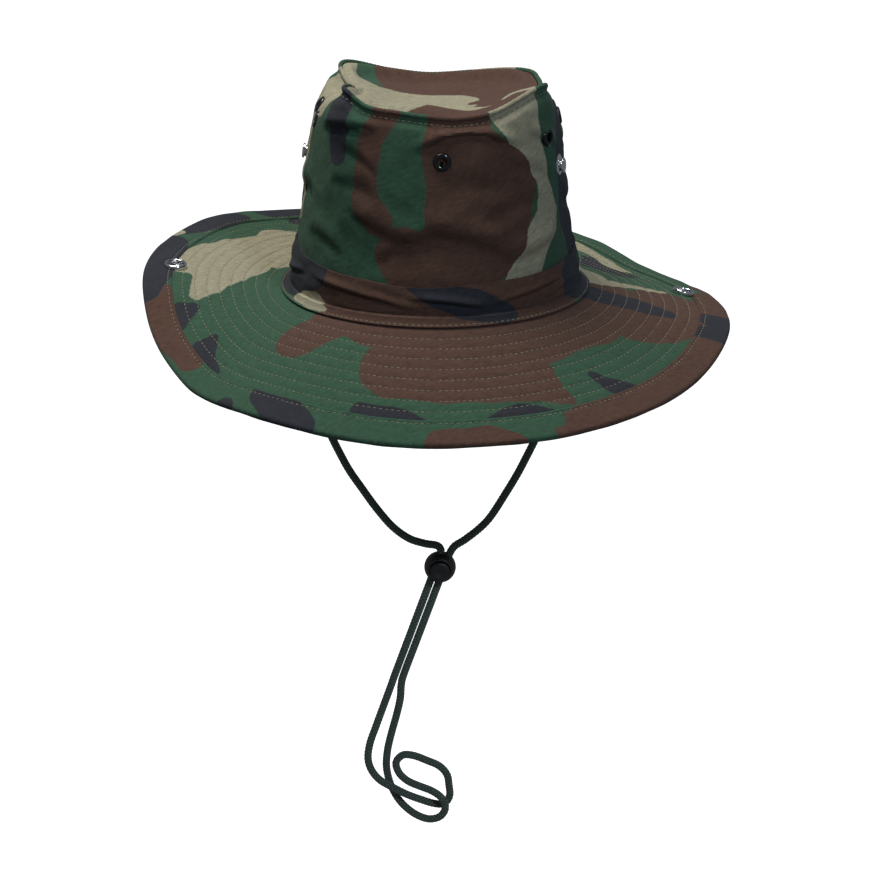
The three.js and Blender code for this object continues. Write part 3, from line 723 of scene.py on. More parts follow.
underBlots = [
    ("brown", [(-150, 0.3, 18), (-138, 0.5, 20), (-120, 0.55, 14)]),
    ("khaki", [(-100, 0.25, 14), (-88, 0.45, 18), (-78, 0.6, 12)]),
    ("navy", [(-118, 0.2, 7), (-108, 0.3, 9), (-104, 0.42, 5)]),
    ("brown", [(-62, 0.7, 15), (-52, 0.5, 18), (-38, 0.35, 16), (-20, 0.3, 12)]),
    ("navy", [(-70, 0.3, 8), (-60, 0.26, 10), (-50, 0.16, 6)]),
    ("khaki", [(-30, 0.75, 9), (-18, 0.68, 14), (-6, 0.6, 10)]),
    ("brown", [(14, 0.4, 20), (28, 0.5, 16), (40, 0.4, 9)]),
    ("navy", [(22, 0.75, 8), (34, 0.7, 10), (46, 0.62, 5)]),
    ("khaki", [(58, 0.3, 14), (72, 0.4, 17), (84, 0.3, 10)]),
    ("brown", [(100, 0.6, 18), (114, 0.45, 18), (124, 0.3, 10)]),
    ("navy", [(92, 0.8, 9), (104, 0.85, 8)]),
    ("khaki", [(146, 0.55, 15), (158, 0.4, 16), (168, 0.35, 9)]),
    ("brown", [(184, 0.7, 14), (194, 0.5, 18), (202, 0.3, 12)]),
    ("navy", [(176, 0.2, 8), (186, 0.26, 9), (214, 0.6, 9)]),
]
wallBlots = [
    ("brown", [(-110, 117, 8), (-115.5, 102, 7), (-117, 86, 6.5), (-117, 70, 7.5), (-112, 57, 9)]),
    ("brown", [(-102, 40, 15), (-96, 24, 14), (-84, 30, 22), (-74, 50, 30), (-71, 74, 31), (-80, 98, 22),
               (-80, 120, 17)]),
    ("green", [(-97, 117, 6), (-103, 101, 8.5), (-105, 88, 10.5), (-104, 76, 11), (-100.5, 65, 8.5),
               (-96.5, 57, 4.5)]),
    ("khaki", [(-57, 120, 15), (-54, 104, 10), (-50, 92, 7), (-46, 80, 4.5), (-44, 68, 5.5), (-43, 58, 8),
               (-45, 48, 11), (-50, 38, 10), (-54, 27, 11), (-58, 18, 9)]),
    ("brown", [(-71, 74, 30), (-74, 50, 29)]),
    ("navy", [(-22, 100, 16), (-20, 80, 22), (-18, 60, 24), (-14, 40, 18)]),
    ("navy", [(-131, 120, 9), (-131, 101, 8), (-130, 92, 6.5)]),
    ("khaki", [(-180, 112, 18), (-182, 84, 24), (-182, 58, 20)]),
    ("khaki", [(-149, 129, 8), (-158, 122, 14), (-175, 120, 18), (-196, 124, 16)]),
    ("navy", [(-184, 30, 12), (-172, 26, 7), (-158, 22, 6)]),
    ("green", [(33, 124, 12), (28, 108, 14)]),
    ("brown", [(18, 70, 16), (30, 50, 20), (48, 36, 16), (60, 28, 12)]),
    ("khaki", [(60, 118, 15), (68, 96, 16), (78, 80, 14), (92, 70, 12), (104, 54, 10)]),
    ("navy", [(46, 88, 8), (52, 76, 11), (62, 62, 7)]),
    ("brown", [(104, 122, 12), (114, 104, 18), (124, 86, 18), (128, 60, 12)]),
    ("navy", [(92, 34, 9), (106, 28, 12), (120, 34, 8)]),
    ("green", [(116, 96, 6), (122, 84, 7)]),
    ("khaki", [(142, 44, 12), (150, 28, 14), (160, 18, 8)]),
    ("navy", [(140, 112, 8), (148, 98, 11), (152, 84, 6)]),
    ("brown", [(160, 70, 9), (166, 56, 11)]),
]
bandBlots = [
    ("brown", [(-125, 12, 22), (-105, 12, 22), (-80, 12, 24), (-50, 12, 24), (-34, 12, 20)]),
    ("navy", [(-190, 14, 22), (-165, 16, 20), (-148, 18, 14), (-139, 22, 9)]),
    ("navy", [(-99, 24, 4), (-88, 17, 8), (-76, 10, 9.5), (-66, 2, 9)]),
    ("navy", [(-18, 14, 22), (0, 14, 20), (16, 14, 14)]),
    ("khaki", [(-149, 1, 6), (-140, 2, 8), (-134, 0, 5)]),
    ("khaki", [(36, 16, 14), (48, 6, 10)]),
    ("brown", [(72, 18, 12), (88, 8, 12)]),
    ("navy", [(104, 18, 12), (116, 8, 8)]),
    ("khaki", [(134, 6, 10), (144, 18, 9)]),
    ("brown", [(158, 12, 12)]),
]
tipBlots = [
    ("brown", [(0, 0, 130)]),
    ("khaki", [(-62, 30, 20), (-50, 8, 24), (-35, -6, 28), (-18, 0, 30), (0, 3, 27), (8, -3, 18)]),
    ("khaki", [(-45, -35, 26), (-25, -40, 24), (-6, -30, 14), (12, -20, 10), (22, -20, 6),
               (31, -21, 1.5)]),
    ("brown", [(23, -3, 3.5), (36, -1, 9), (60, 4, 20)]),
    ("khaki", [(-56, 52, 16)]),
    ("green", [(-42, 52, 6), (-40, 38, 8), (-36, 27, 4)]),
    ("brown", [(-2, -2, 1.5), (0, -16, 5), (0, -30, 6), (2, -50, 8)]),
    ("khaki", [(41, -6, 1.2), (46, 1, 2.2), (53, 6, 2.8), (58, 5, 2.2)]),
]

# where the metal fittings sit: (degrees, height) on the wall, (degrees, share) on the brim
upward = lambda deg: np.tile([0.0, 0.0, 1.0], (len(deg), 1))
sideways = lambda deg: polar(deg, 1.0, 0.0 * deg)
fittings = {
    "eyelets": {"eyelet_front": (-87, 91), "eyelet_back": (90, 92), "eyelet_left_fore": (197, 104.5),
                "eyelet_left_aft": (176, 109), "eyelet_right_fore": (-42, 101),
                "eyelet_right_aft": (-7, 105)},
    "studs": {"Left": (183, 82.5), "Right": (-31.5, 82)},
    "sockets": {"Left": (176, 0.81), "Right": (10.5, 0.775)},
    "eyeletOutline": [(2.7, -2.6), (2.7, 0.9), (2.95, 1.35), (3.5, 1.55), (4.3, 1.45), (4.9, 1.1),
                      (5.2, 0.5), (5.2, 0.3),
                      (3.4, 0.3), (3.3, -2.1), (4.5, -2.1), (4.6, -2.5), (2.7, -2.6)],
    "studOutline": [(0, -3.1), (1.9, -3.1), (1.9, 0.35), (6.3, 0.35), (6.4, 0.6), (6.2, 0.95),
                    (5.2, 1.5), (3.5, 1.75),
                    (3.15, 2.1), (3.3, 2.5), (4.3, 2.75), (4.5, 3.1), (4.4, 3.6), (3.6, 4.05),
                    (1.5, 4.2), (0, 4.2)],
    "socketOutline": [(0, -3.2), (1.9, -3.2), (1.9, 0.35), (6.8, 0.35), (7.0, 0.6), (7.0, 1.9),
                      (6.8, 2.6), (6.4, 3.05),
                      (5.9, 3.15), (5.4, 2.9), (5.15, 2.4), (5.05, 0.8), (4.6, 0.65), (0, 0.6)],
}


def standOn(place, deg, v, dv, outward):
    deg, v = np.array([float(deg)]), np.array([float(v)])
    origin = place(deg, v)[0]
    side = Vector((place(deg + 0.5, v) - place(deg - 0.5, v))[0]).normalized()
    other = Vector((place(deg, v + dv) - place(deg, v - dv))[0])
    normal = side.cross(other).normalized()
    if normal.dot(Vector(outward(deg)[0])) < 0:
        normal = -normal
    up = normal.cross(side)
    matrix = Matrix((side, up, normal)).transposed().to_4x4()
    matrix.translation = Vector(origin) * mm
    return matrix


bareWall = lambda deg, z: polar(deg, crownRadius(deg, z), z)
bareBrim = lambda deg, s: brimPoint(deg, s, 1.0)


def wallHoles():
    spots = [(place, 3.6) for place in fittings["eyelets"].values()]
    spots += [(place, 2.4) for place in fittings["studs"].values()]
    return [(standOn(bareWall, deg, z, 1, sideways), radius) for (deg, z), radius in spots]


# 1 where a snap socket pinches the brim, 0 away from it
def pinched(deg, s):
    out = 0 * (deg + s)
    for spotDeg, spotS in fittings["sockets"].values():
        x, y = brimPlane(deg, s)
        x0, y0 = brimPlane(spotDeg, spotS)
        gap = np.clip((np.hypot(x - x0, y - y0) - 7.2) / 3.5, 0, 1)
        out = np.maximum(out, 1 - gap * gap * (3 - 2 * gap))
    return out


# cloth relief
quilt = {"firstRow": 0.165, "rowGap": 0.083, "rows": 8, "puff": 0.55, "pucker": 0.22, "hemRow": 0.845}
lifts = {"plyTop": 1.0, "plyInner": 0.15, "hemTop": 2.15, "hemInner": 1.3, "hemCrease": 0.815}


def brimWave(deg, s):
    return 0.9 * s * ripple(deg * 2.2, s * 60, 34, 2.0)


def quiltPuff(deg, s):
    k = (s - quilt["firstRow"]) / quilt["rowGap"]
    sunk = np.abs(np.sin(math.pi * k)) ** 0.55
    inField = np.clip((s - 0.07) / 0.05, 0, 1) * np.clip((0.86 - s) / 0.04, 0, 1)
    arc = np.radians(deg) * (90 + 85 * s)
    nearRow = np.exp(-((np.abs(np.sin(math.pi * k)) / 0.55) ** 2))
    gather = np.sin(arc / 1.9 + 3 * np.sin(arc / 23) + 2.1 * np.rint(k)) * ripple(arc, s * 85, 17, 5.0)
    relief = quilt["puff"] * (sunk - 0.75) + quilt["pucker"] * nearRow * gather
    return (1 - pinched(deg, s)) * inField * (relief + 0.16 * ripple(arc, s * 85, 5.5, 7.0))


# fold across the cloth: a rounded ridge above a curved line and a groove below it
def tuck(deg, z, ends, height, width, arch=3.0):
    (d0, z0), (d1, z1) = ends
    t = (deg - d0) / (d1 - d0)
    gap = z - (z0 + (z1 - z0) * t + arch * np.sin(math.pi * np.clip(t, 0, 1)))
    window = np.exp(-((np.clip(np.abs(t - 0.5) - 0.3, 0, 9) / 0.16) ** 2))
    return height * window * (bump(gap, width, width) - 0.95 * bump(gap, -0.4 * width, 0.55 * width))


# (ends of the fold as degrees and height, height of its ridge, width, arch), millimetres
crownFolds = [
    (((-97, 97), (-57, 98)), 2.7, 3.4, 8), (((-143, 105), (-114, 108)), 2.6, 4.0, 2),
    (((-128, 97), (-112, 84)), 1.2, 5.0, 2), (((-124, 62), (-97, 46)), 1.9, 7.0, -3),
    (((-96, 50), (-62, 37)), 2.2, 7.5, 4), (((-112, 34), (-92, 46)), 1.5, 6.0, 3),
    (((-86, 80), (-50, 70)), 1.0, 9.0, 4), (((-72, 58), (-44, 66)), 1.4, 6.5, 4),
    (((-66, 34), (-38, 44)), 1.5, 6.0, -3), (((-134, 78), (-112, 72)), 1.0, 7.0, 3),
    (((-52, 104), (-34, 92)), 1.6, 4.0, 2), (((-60, 88), (-40, 78)), 0.9, 5.0, 2),
    (((-150, 44), (-126, 36)), 1.2, 6.0, 3), (((-180, 60), (-150, 66)), 1.6, 7.0, 4),
    (((60, 60), (100, 48)), 2.0, 8.0, 4), (((110, 92), (150, 98)), 1.9, 5.0, 5), (((20, 46),
                                                                                   (50, 58)), 1.6, 7.0, 3),
    (((70, 96), (104, 88)), 1.8, 5.5, -3), (((0, 86), (30, 76)), 1.5, 6.0, 4), (((128, 40),
                                                                                 (160, 50)), 1.6, 6.5, 3),
    (((-30, 60), (0, 52)), 1.5, 7.0, 3), (((86, 70), (120, 74)), 1.2, 7.0, 4),
]


def wallDents(deg, z):
    d = ((np.asarray(deg, float) + 190) % 360) - 190
    out = -2.2 * bump(d, -95, 12) * bump(z, 42, 10) + 1.2 * bump(d, -84, 16) * bump(z, 66, 16)
    for ends, height, width, arch in crownFolds:
        out += tuck(d, z, ends, height, width, arch)
    x = np.radians(d) * 84
    warp = 7 * ripple(x, z, 31, 2.2)
    out += 1.0 * ripple(x + warp, z, 25, 3.0)
    creases = 0.55 - np.abs(ripple(x + warp, z * 1.3 + warp, 30, 6.0)) ** 0.75
    out += 1.5 * creases + 0.3 * ripple(x, z, 8, 8.0) + 0.1 * ripple(x, z, 4, 5.0)
    edge = np.clip((ringValue("topHeight", deg) - z) / 9, 0, 1) ** 0.7
    return out * np.clip((z - 12) / 14, 0, 1) * edge


# the last few millimetres of the wall turn in under the welt
def wallPoint(deg, z, off):
    r = crownRadius(deg, z) + wallDents(deg, z) + off
    turn = np.clip((z - ringValue("topHeight", deg) + 8) / 6.4, 0, 1)
    turn = turn * turn * (3 - 2 * turn)
    return polar(deg, r * (1 - turn) + np.minimum(r, ringValue("topRadius", deg) + 0.4 + off) * turn, z)


print("cloth: crown wall")
crown = {"foot": 1.6, "topGap": 1.4, "cloth": 1.4, "rows": 74, "innerRows": 16, "columnPitch": 1.5}


def closedRows(outer, inner):
    stations = np.concatenate([outer, inner, outer[:1]])
    sides = np.concatenate([np.ones(len(outer)), np.zeros(len(inner)), [1.0]])
    return stations, sides


def crownPanel(name, start, end, node, seed):
    columns = int((end - start) * crown["columnPitch"] / 1.05)
    lean = np.linspace(0, 1, crown["rows"]) ** 0.9
    stations, sides = closedRows(lean, np.linspace(1, 0, crown["innerRows"]))

    def spot(run, row):
        deg = start + 0.12 + (end - start - 0.24) * run
        top = ringValue("topHeight", deg) - crown["topGap"]
        return deg, crown["foot"] + (top - crown["foot"]) * stations[row]

    def place(run, row):
        deg, z = spot(run, row)
        fromSeam = np.minimum(deg - start, end - deg) * 1.43
        pinch = -0.75 * np.exp(-(fromSeam / 2.0) ** 2) + 0.35 * np.exp(-((fromSeam - 5) / 3.0) ** 2)
        under = 0.7 * np.exp(-((ringValue("topHeight", deg) - z - 4.2) / 1.6) ** 2)
        return wallPoint(deg, z, np.where(sides[row] > 0, pinch - under, -crown["cloth"]))

    def uv(run, row):
        along = (start + (end - start) * run) * 1.43
        return np.stack([along, stations[row] * 120 + 200 * (1 - sides[row])], -1) * mm

    paint = lambda run, row: paintBlots(wallBlots, wallPlane, *spot(run, row), seed, (-360, 0, 360))
    piece = wrapCloth(name, columns, len(stations) - 1, place, uv, paint, holes=wallHoles())
    dress(piece, camouflage, (node,), "hat")
    return piece


crownPanel("crownFrontPanel", sideSeams[1] - 360, sideSeams[0], "crown_front_panel", 1.0)
crownPanel("crownBackPanel", sideSeams[0], sideSeams[1], "crown_back_panel", 1.0)

print("cloth: crown tip, welt, band")
tip = {"inset": 2.6, "hollow": 109, "columns": 220, "rows": 44, "innerRows": 12, "halfCloth": 0.6}


def tipSag(x, y, share):
    out = 8.5 * np.exp(-(((x + 14) / 34) ** 2) - ((y + 52) / 11) ** 2)
    out += 4.5 * np.exp(-(((x + 46) / 16) ** 2) - ((y - 14) / 22) ** 2)
    out += -2.5 * np.exp(-(((x + 46) / 10) ** 2) - ((y - 46) / 12) ** 2)
    out += 2.4 * np.exp(-(((x - 34) / 20) ** 2) - ((y - 26) / 9) ** 2)
    out += -1.6 * np.exp(-(((x - 18) / 16) ** 2) - ((y - 34) / 4.5) ** 2)
    out += 1.8 * np.exp(-(((x - 48) / 8) ** 2) - ((y - 6) / 16) ** 2)
    out += 0.9 * ripple(x, y, 17, 4.0) + 0.2 * ripple(x, y, 6, 1.0)
    backRoll = 5.6 * bump(share, 0.92, 0.075) * np.clip((y - 8) / 30, 0, 1) * (1 - share**16)
    frontValley = -9.5 * bump(x, -15, 27) * bump(share, 0.925, 0.045) * (y < 0) * (1 - share**24)
    return out * (1 - share**5) + backRoll + frontValley


def tipPoint(deg, share, lift):
    r = (ringValue("topRadius", deg) - tip["inset"]) * share
    x, y = r * np.cos(np.radians(deg)), r * np.sin(np.radians(deg))
    w = share**2.6
    z = (ringValue("topHeight", deg) - 1.2) * w + tip["hollow"] * (1 - w)
    return np.stack([x, y, z + tipSag(x, y, share) + lift], -1)


def crownTip():
    stations = np.concatenate([np.linspace(0, 1, tip["rows"]), np.linspace(1, 0, tip["innerRows"])])
    sides = np.concatenate([np.ones(tip["rows"]), -np.ones(tip["innerRows"])])
    place = lambda run, row: tipPoint(run * 360, stations[row], sides[row] * tip["halfCloth"])
    uv = lambda run, row: place(run, row)[:, :2] * mm
    paint = lambda run, row: paintBlots(tipBlots, topPlane, *place(run, row)[:, :2].T, 2.0)
    piece = wrapCloth("crownTip", tip["columns"], len(stations) - 1, place, uv, paint, joined=True)
    dress(piece, camouflage, ("crown_tip",), "hat")


def topWelt():
    around = 14

    def place(run, row):
        deg, a = run * 360, row / around * math.tau
        rim = ringValue("topHeight", deg) - 0.2
        size = 1.5 + 0.12 * np.sin(np.radians(deg) * 190)
        return polar(deg, ringValue("topRadius", deg) - 0.7 + size * np.cos(a), rim + size * np.sin(a))

    uv = lambda run, row: np.stack([run * 480, row / around * 9], -1) * mm
    under = lambda run: np.full(run.shape, 117.0)
    paint = lambda run, row: paintBlots(wallBlots, wallPlane, run * 360, under(run), 1.0, (-360, 0, 360))
    piece = wrapCloth("topWelt", 620, around, place, uv, paint, joined=True, sharpAngle=None)
    dress(piece, camouflage, ("crown_top_welt",), "hat")


band = {"columns": 360, "flange": 0.078, "ply": 1.0}


# wrinkles of the loose band, running nearly along it
def bandFolds(deg, z):
    d = ((np.asarray(deg, float) + 190) % 360) - 190
    out = 0.8 * ripple(d * 1.5, z * 3.0, 17, 6.0) + 0.25 * ripple(d * 1.5, z * 2, 6, 2.0)
    folds = [((-138, 18), (-100, 9)), ((-70, 8), (-36, 17)), ((-98, 14), (-72, 8)), ((-44, 8), (-22, 14)),
             ((20, 15), (60, 9)), ((90, 9), (130, 16)), ((-180, 10), (-150, 18)), ((150, 17), (176, 9))]
    for ends in folds:
        out += tuck(d, z, ends, 1.5, 2.2, 1.0)
    return out


def crownBand():
    # rows: down the face, out over the flange, then back underneath
    wallShare = np.linspace(1, 0, 30)
    flange = np.linspace(0.0, 1.0, 12)
    outerCount = len(wallShare) + len(flange)
    shares = np.concatenate([wallShare, flange, flange[::-1], wallShare[::-1], wallShare[:1]])
    part = np.concatenate([np.zeros(30), np.ones(12), np.ones(12), np.zeros(30), [0]])
    outward = np.concatenate([np.ones(outerCount), np.zeros(outerCount), [1.0]])

    def heights(run, row):
        deg = run * 360
        top = ringValue("bandTop", deg) + 0.6 * ripple(deg * 1.5, 0, 19, 1.0)
        return deg, np.where(part[row] < 0.5, 5.0 + (top - 5.0) * shares[row], 5.0 - 12 * shares[row])

    def place(run, row):
        deg, z = heights(run, row)
        free = np.clip(shares[row], 0, 1) * (part[row] < 0.5)
        swell = 0.9 * np.sin(math.pi * free) + 0.35 * free**4
        thick = 0.5 + band["ply"] * outward[row]
        wrinkle = np.maximum(bandFolds(deg, z), -0.9) * np.sin(math.pi * free) ** 0.5
        onWall = polar(deg, crownRadius(deg, z) + wrinkle + swell + thick, z)
        s = 0.018 + (band["flange"] - 0.018) * shares[row]
        ease = (1 - shares[row]) ** 2
        onBrim = brimPoint(deg, s + 0.012 * ease * outward[row], 1.55 + 1.0 * outward[row] + 2.6 * ease)
        return np.where((part[row] < 0.5)[:, None], onWall, onBrim)

    uv = lambda run, row: np.stack([run * 570, np.where(part[row] < 0.5, shares[row] * 22, -shares[row] * 9)
                                    + 40 * (1 - outward[row])], -1) * mm
    paint = lambda run, row: paintBlots(bandBlots, wallPlane, *heights(run, row), 3.0, (-360, 0, 360))
    piece = wrapCloth("crownBand", band["columns"], len(shares) - 1, place, uv, paint, joined=True)
    dress(piece, camouflage, ("crown_band",), "hat")


crownTip()
topWelt()
crownBand()

print("cloth: sweatband and label")


def innerTape(name, degRange, zRange, offs, node, material, joined, columns, weave):
    rows = 18
    z = np.concatenate([np.linspace(*zRange, rows), np.linspace(*zRange[::-1], rows), [zRange[0]]])
    off = np.concatenate([np.full(rows, offs[0]), np.full(rows, offs[1]), [offs[0]]])

    def place(run, row):
        deg = degRange[0] + (degRange[1] - degRange[0]) * run
        stitched = 0.25 * (np.abs(z[row] - zRange[0] - 3) < 1.6)
        uneven = weave * ripple(deg * 1.4, z[row], 9, 2.0)
        return polar(deg, crownRadius(deg, z[row]) - off[row] + stitched + uneven, z[row])

    uv = lambda run, row: np.stack([run * (degRange[1] - degRange[0]) * 1.45, z[row]], -1) * mm
    piece = wrapCloth(name, columns, len(z) - 1, place, uv, joined=joined)
    dress(piece, material, (node,), "hat")


innerTape("sweatbandTape", (0, 360), (-1, 33), (2.2, 3.4), "sweatband", oliveTape, True, 240,
          0.15)
innerTape("careLabel", (80, 100), (8, 26), (3.85, 4.2), "care_label", labelTape, False, 24,
          0.03)

print("cloth: brim")
brim = {"columns": 260, "topRows": 116, "backRows": 14, "bendStart": 0.0915, "bendEnd": 0.130}


def bendWithWing(piece):
    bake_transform(piece)


def halfRange(side):
    return (-270, -90) if side == "Left" else (-90, 90)


def brimPly(name, side, upper, nodes, blots, seed):
    start, end = halfRange(side)
    low, high = lifts["plyInner"], lifts["plyTop"]
    outer = np.linspace(-0.018, 0.985, brim["topRows"])
    stations, sides = closedRows(outer, np.linspace(0.985, -0.018, brim["backRows"]))

    def place(run, row):
        deg, s = start + (end - start) * run, stations[row]
        face = high + quiltPuff(deg, s)
        lift = np.where(sides[row] > 0, face, low)
        return brimPoint(deg, s, lift if upper else -lift) + wavy(deg, s)

    uv = lambda run, row: brimUv(start + (end - start) * run, stations[row], sides[row])
    angle = lambda run: start + (end - start) * run
    paint = lambda run, row: paintBlots(blots, brimPlane, angle(run), stations[row], seed, (0,))
    piece = wrapCloth(name + side, brim["columns"], len(stations) - 1, place, uv, paint)
    dress(piece, camouflage, nodes)
    bendWithWing(piece)
    return piece


def wavy(deg, s):
    return np.stack([0 * deg, 0 * deg, brimWave(deg, s)], -1)


def brimUv(deg, s, side):
    x, y = brimPlane(deg, s)
    return np.stack([x, y + 400 * (1 - side)], -1) * mm


# turned hem: over the edge from the crease on top to the crease below
def brimHem(side):
    start, end = halfRange(side)
    crease, top, inner = lifts["hemCrease"], lifts["hemTop"], lifts["hemInner"]
    over = np.linspace(crease, 0.985, 34)
    turn = np.radians(np.linspace(90, -90, 12)[1:-1])
    stations = np.concatenate([[crease], over + 0.004, 0.99 + 0.024 * np.cos(turn), over[::-1] + 0.004,
                               [crease], [0.975], [0.975], [crease]])
    height = np.concatenate([[inner], np.full(34, top), top * np.sin(turn), np.full(34, -top), [-inner],
                             [-inner], [inner], [inner]])
    face = np.concatenate([[0], np.ones(34), np.ones(10), np.ones(34), [0, 0, 0, 0]])

    def place(run, row):
        deg, s = start + (end - start) * run, stations[row]
        arc = np.radians(deg) * 165
        roll = 1 - np.exp(-((np.minimum(np.abs(s - crease), 0.1)) / 0.006) ** 2)
        sunk = np.exp(-((s - quilt["hemRow"]) / 0.011) ** 2) * (0.45 + 0.25 * np.sin(arc / 1.9))
        lift = np.sign(height[row]) * (np.abs(height[row]) * (1 - 0.28 * face[row] * (1 - roll))
                                       + face[row] * (0.3 * ripple(arc, s * 85, 9, 3.0) - sunk))
        press = pinched(deg, s)
        flat = np.sign(lift) * (1.06 + 0.2 * face[row])
        return brimPoint(deg, s, lift * (1 - press) + flat * press) + wavy(deg, s)

    uv = lambda run, row: brimUv(start + (end - start) * run, stations[row], face[row])
    angle = lambda run: start + (end - start) * run
    paint = lambda run, row: paintBlots(hemBlots, brimPlane, angle(run), stations[row], 5.0, (0,))
    piece = wrapCloth("brimHem" + side, brim["columns"], len(stations) - 1, place, uv, paint)
    fixedHem = "brim_hem_front" if side == "Left" else "brim_hem_back"
    dress(piece, camouflage, ("wing_" + side.lower() + "_hem", fixedHem))
    bendWithWing(piece)


for brimSide in ("Left", "Right"):
    lower = brimSide.lower()
    brimPly("brimUpper", brimSide, True, ("wing_" + lower + "_upper", "brim_middle_upper"), brimBlots, 4.0)
    brimPly("brimUnder", brimSide, False, ("wing_" + lower + "_under", "brim_middle_under"), underBlots, 6.0)
    brimHem(brimSide)

# stitches
print("stitches")
stitch = {"pitch": 3.3, "long": 1.15, "wide": 0.34, "high": 0.26}


def addStitches(bm, spots, ups):
    ahead = np.roll(spots, -1, 0) - np.roll(spots, 1, 0)
    for spot, way, up in zip(spots[1:-1], ahead[1:-1], ups[1:-1]):
        x = Vector(way).normalized()
        z = (Vector(up) - x * Vector(up).dot(x)).normalized()
        y = z.cross(x)
        turn = Matrix((x, y, z)).transposed().to_4x4()
        size = Matrix.Diagonal((stitch["long"] * mm, stitch["wide"] * mm, stitch["high"] * mm, 1))
        matrix = Matrix.Translation(Vector(spot) * mm) @ turn @ size
        bmesh.ops.create_icosphere(bm, subdivisions=1, radius=1, matrix=matrix)


def rowAngles(start, end, radius):
    count = max(4, int(math.radians(end - start) * radius / stitch["pitch"]))
    return np.linspace(start, end, count)


def normalsOf(place, deg, v, dv):
    across = place(deg + 0.3, v) - place(deg - 0.3, v)
    down = place(deg, v + dv) - place(deg, v - dv)
    n = np.cross(across, down)
    return n / np.linalg.norm(n, axis=1)[:, None]


def stitchRow(bm, place, start, end, value, radius, dv, outward, jitter=0.0):
    deg = rowAngles(start, end, radius)
    v = value(deg) if callable(value) else np.full(deg.shape, float(value))
    if jitter:
        v = v + jitter * ripple(deg * 1.6, deg, 7, 3.0)
    spots = place(deg, v)
    ups = normalsOf(place, deg, v, dv)
    ups *= np.sign((ups * outward(deg)).sum(1))[:, None]
    addStitches(bm, spots + ups * 0.12, ups)


def finishStitches(name, bm, side=None):
    piece = addPiece(name, bm)
    piece.data.materials.append(tanThread)
    if side:
        bendWithWing(piece)
    else:
        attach(piece, "hat")


for brimSide in ("Left", "Right"):
    start, end = halfRange(brimSide)
    for facing in (1, -1):
        bm = bmesh.new()
        plyLift = lambda deg, s: facing * (lifts["plyTop"] + quiltPuff(deg, s))
        field = lambda deg, s: brimPoint(deg, s, plyLift(deg, s)) + wavy(deg, s)
        hemFace = lambda deg, s: brimPoint(deg, s, facing * (lifts["hemTop"] - 0.4)) + wavy(deg, s)
        outward = lambda deg: facing * upward(deg)
        for k in range(quilt["rows"]):
            s = quilt["firstRow"] + quilt["rowGap"] * k
            stitchRow(bm, field, start, end, s, 90 + 85 * s, 0.01, outward, jitter=0.003)
        stitchRow(bm, hemFace, start, end, quilt["hemRow"], 162, 0.01, outward, jitter=0.003)
        finishStitches(("brimStitches" if facing > 0 else "brimBackStitches") + brimSide, bm, brimSide)

bm = bmesh.new()
flangeFace = lambda deg, s: brimPoint(deg, s, 2.62)
weltFace = lambda deg, z: wallPoint(deg, z, -0.35)
for s in (0.042, 0.064):
    stitchRow(bm, flangeFace, -270, 90, s, 96, 0.005, upward)
stitchRow(bm, weltFace, -270, 90, lambda deg: ringValue("topHeight", deg) - 4.0, 80, 0.5, sideways, 0.25)
finishStitches("crownStitches", bm)

# metal fittings
print("snaps, eyelets, cord lock")


def fitMetal(name, shape, matrix, material, body, node):
    piece = turnPiece(name, fittings[shape], 48, matrix)
    dress(piece, material, (node,), body)


for node, (deg, z) in fittings["eyelets"].items():
    words = node.split("_")
    title = words[0] + "".join(w.capitalize() for w in words[1:])
    fitMetal(title, "eyeletOutline", standOn(bareWall, deg, z, 1, sideways), enamel, "hat", node)
for side in ("Left", "Right"):
    lower = side.lower()
    deg, z = fittings["studs"][side]
    fitMetal("snapStud" + side, "studOutline", standOn(bareWall, deg, z, 1, sideways), chrome, "hat",
             "snap_stud_" + lower)
    deg, s = fittings["sockets"][side]
    fitMetal("snapSocket" + side, "socketOutline", standOn(bareBrim, deg, s, 0.01, upward), chrome,
             lower + "_wing", "snap_socket_" + lower)

for node in ("snap_stud_plate_left", "snap_stud_plate_right",
             "snap_socket_cap_left", "snap_socket_cap_right"):
    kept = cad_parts[node]
    kept.data.materials.clear()
    kept.data.materials.append(steel)

# cord lock
lock = {"radius": 10.0, "bore": 6.5, "rim": 0.6, "slotHalf": (5.4, 2.7), "buttonRadius": 6.1}


def lockMatrix():
    return Matrix.Translation(Vector(cord["lock"]) * mm) @ Matrix.Rotation(math.radians(90), 4, "X")


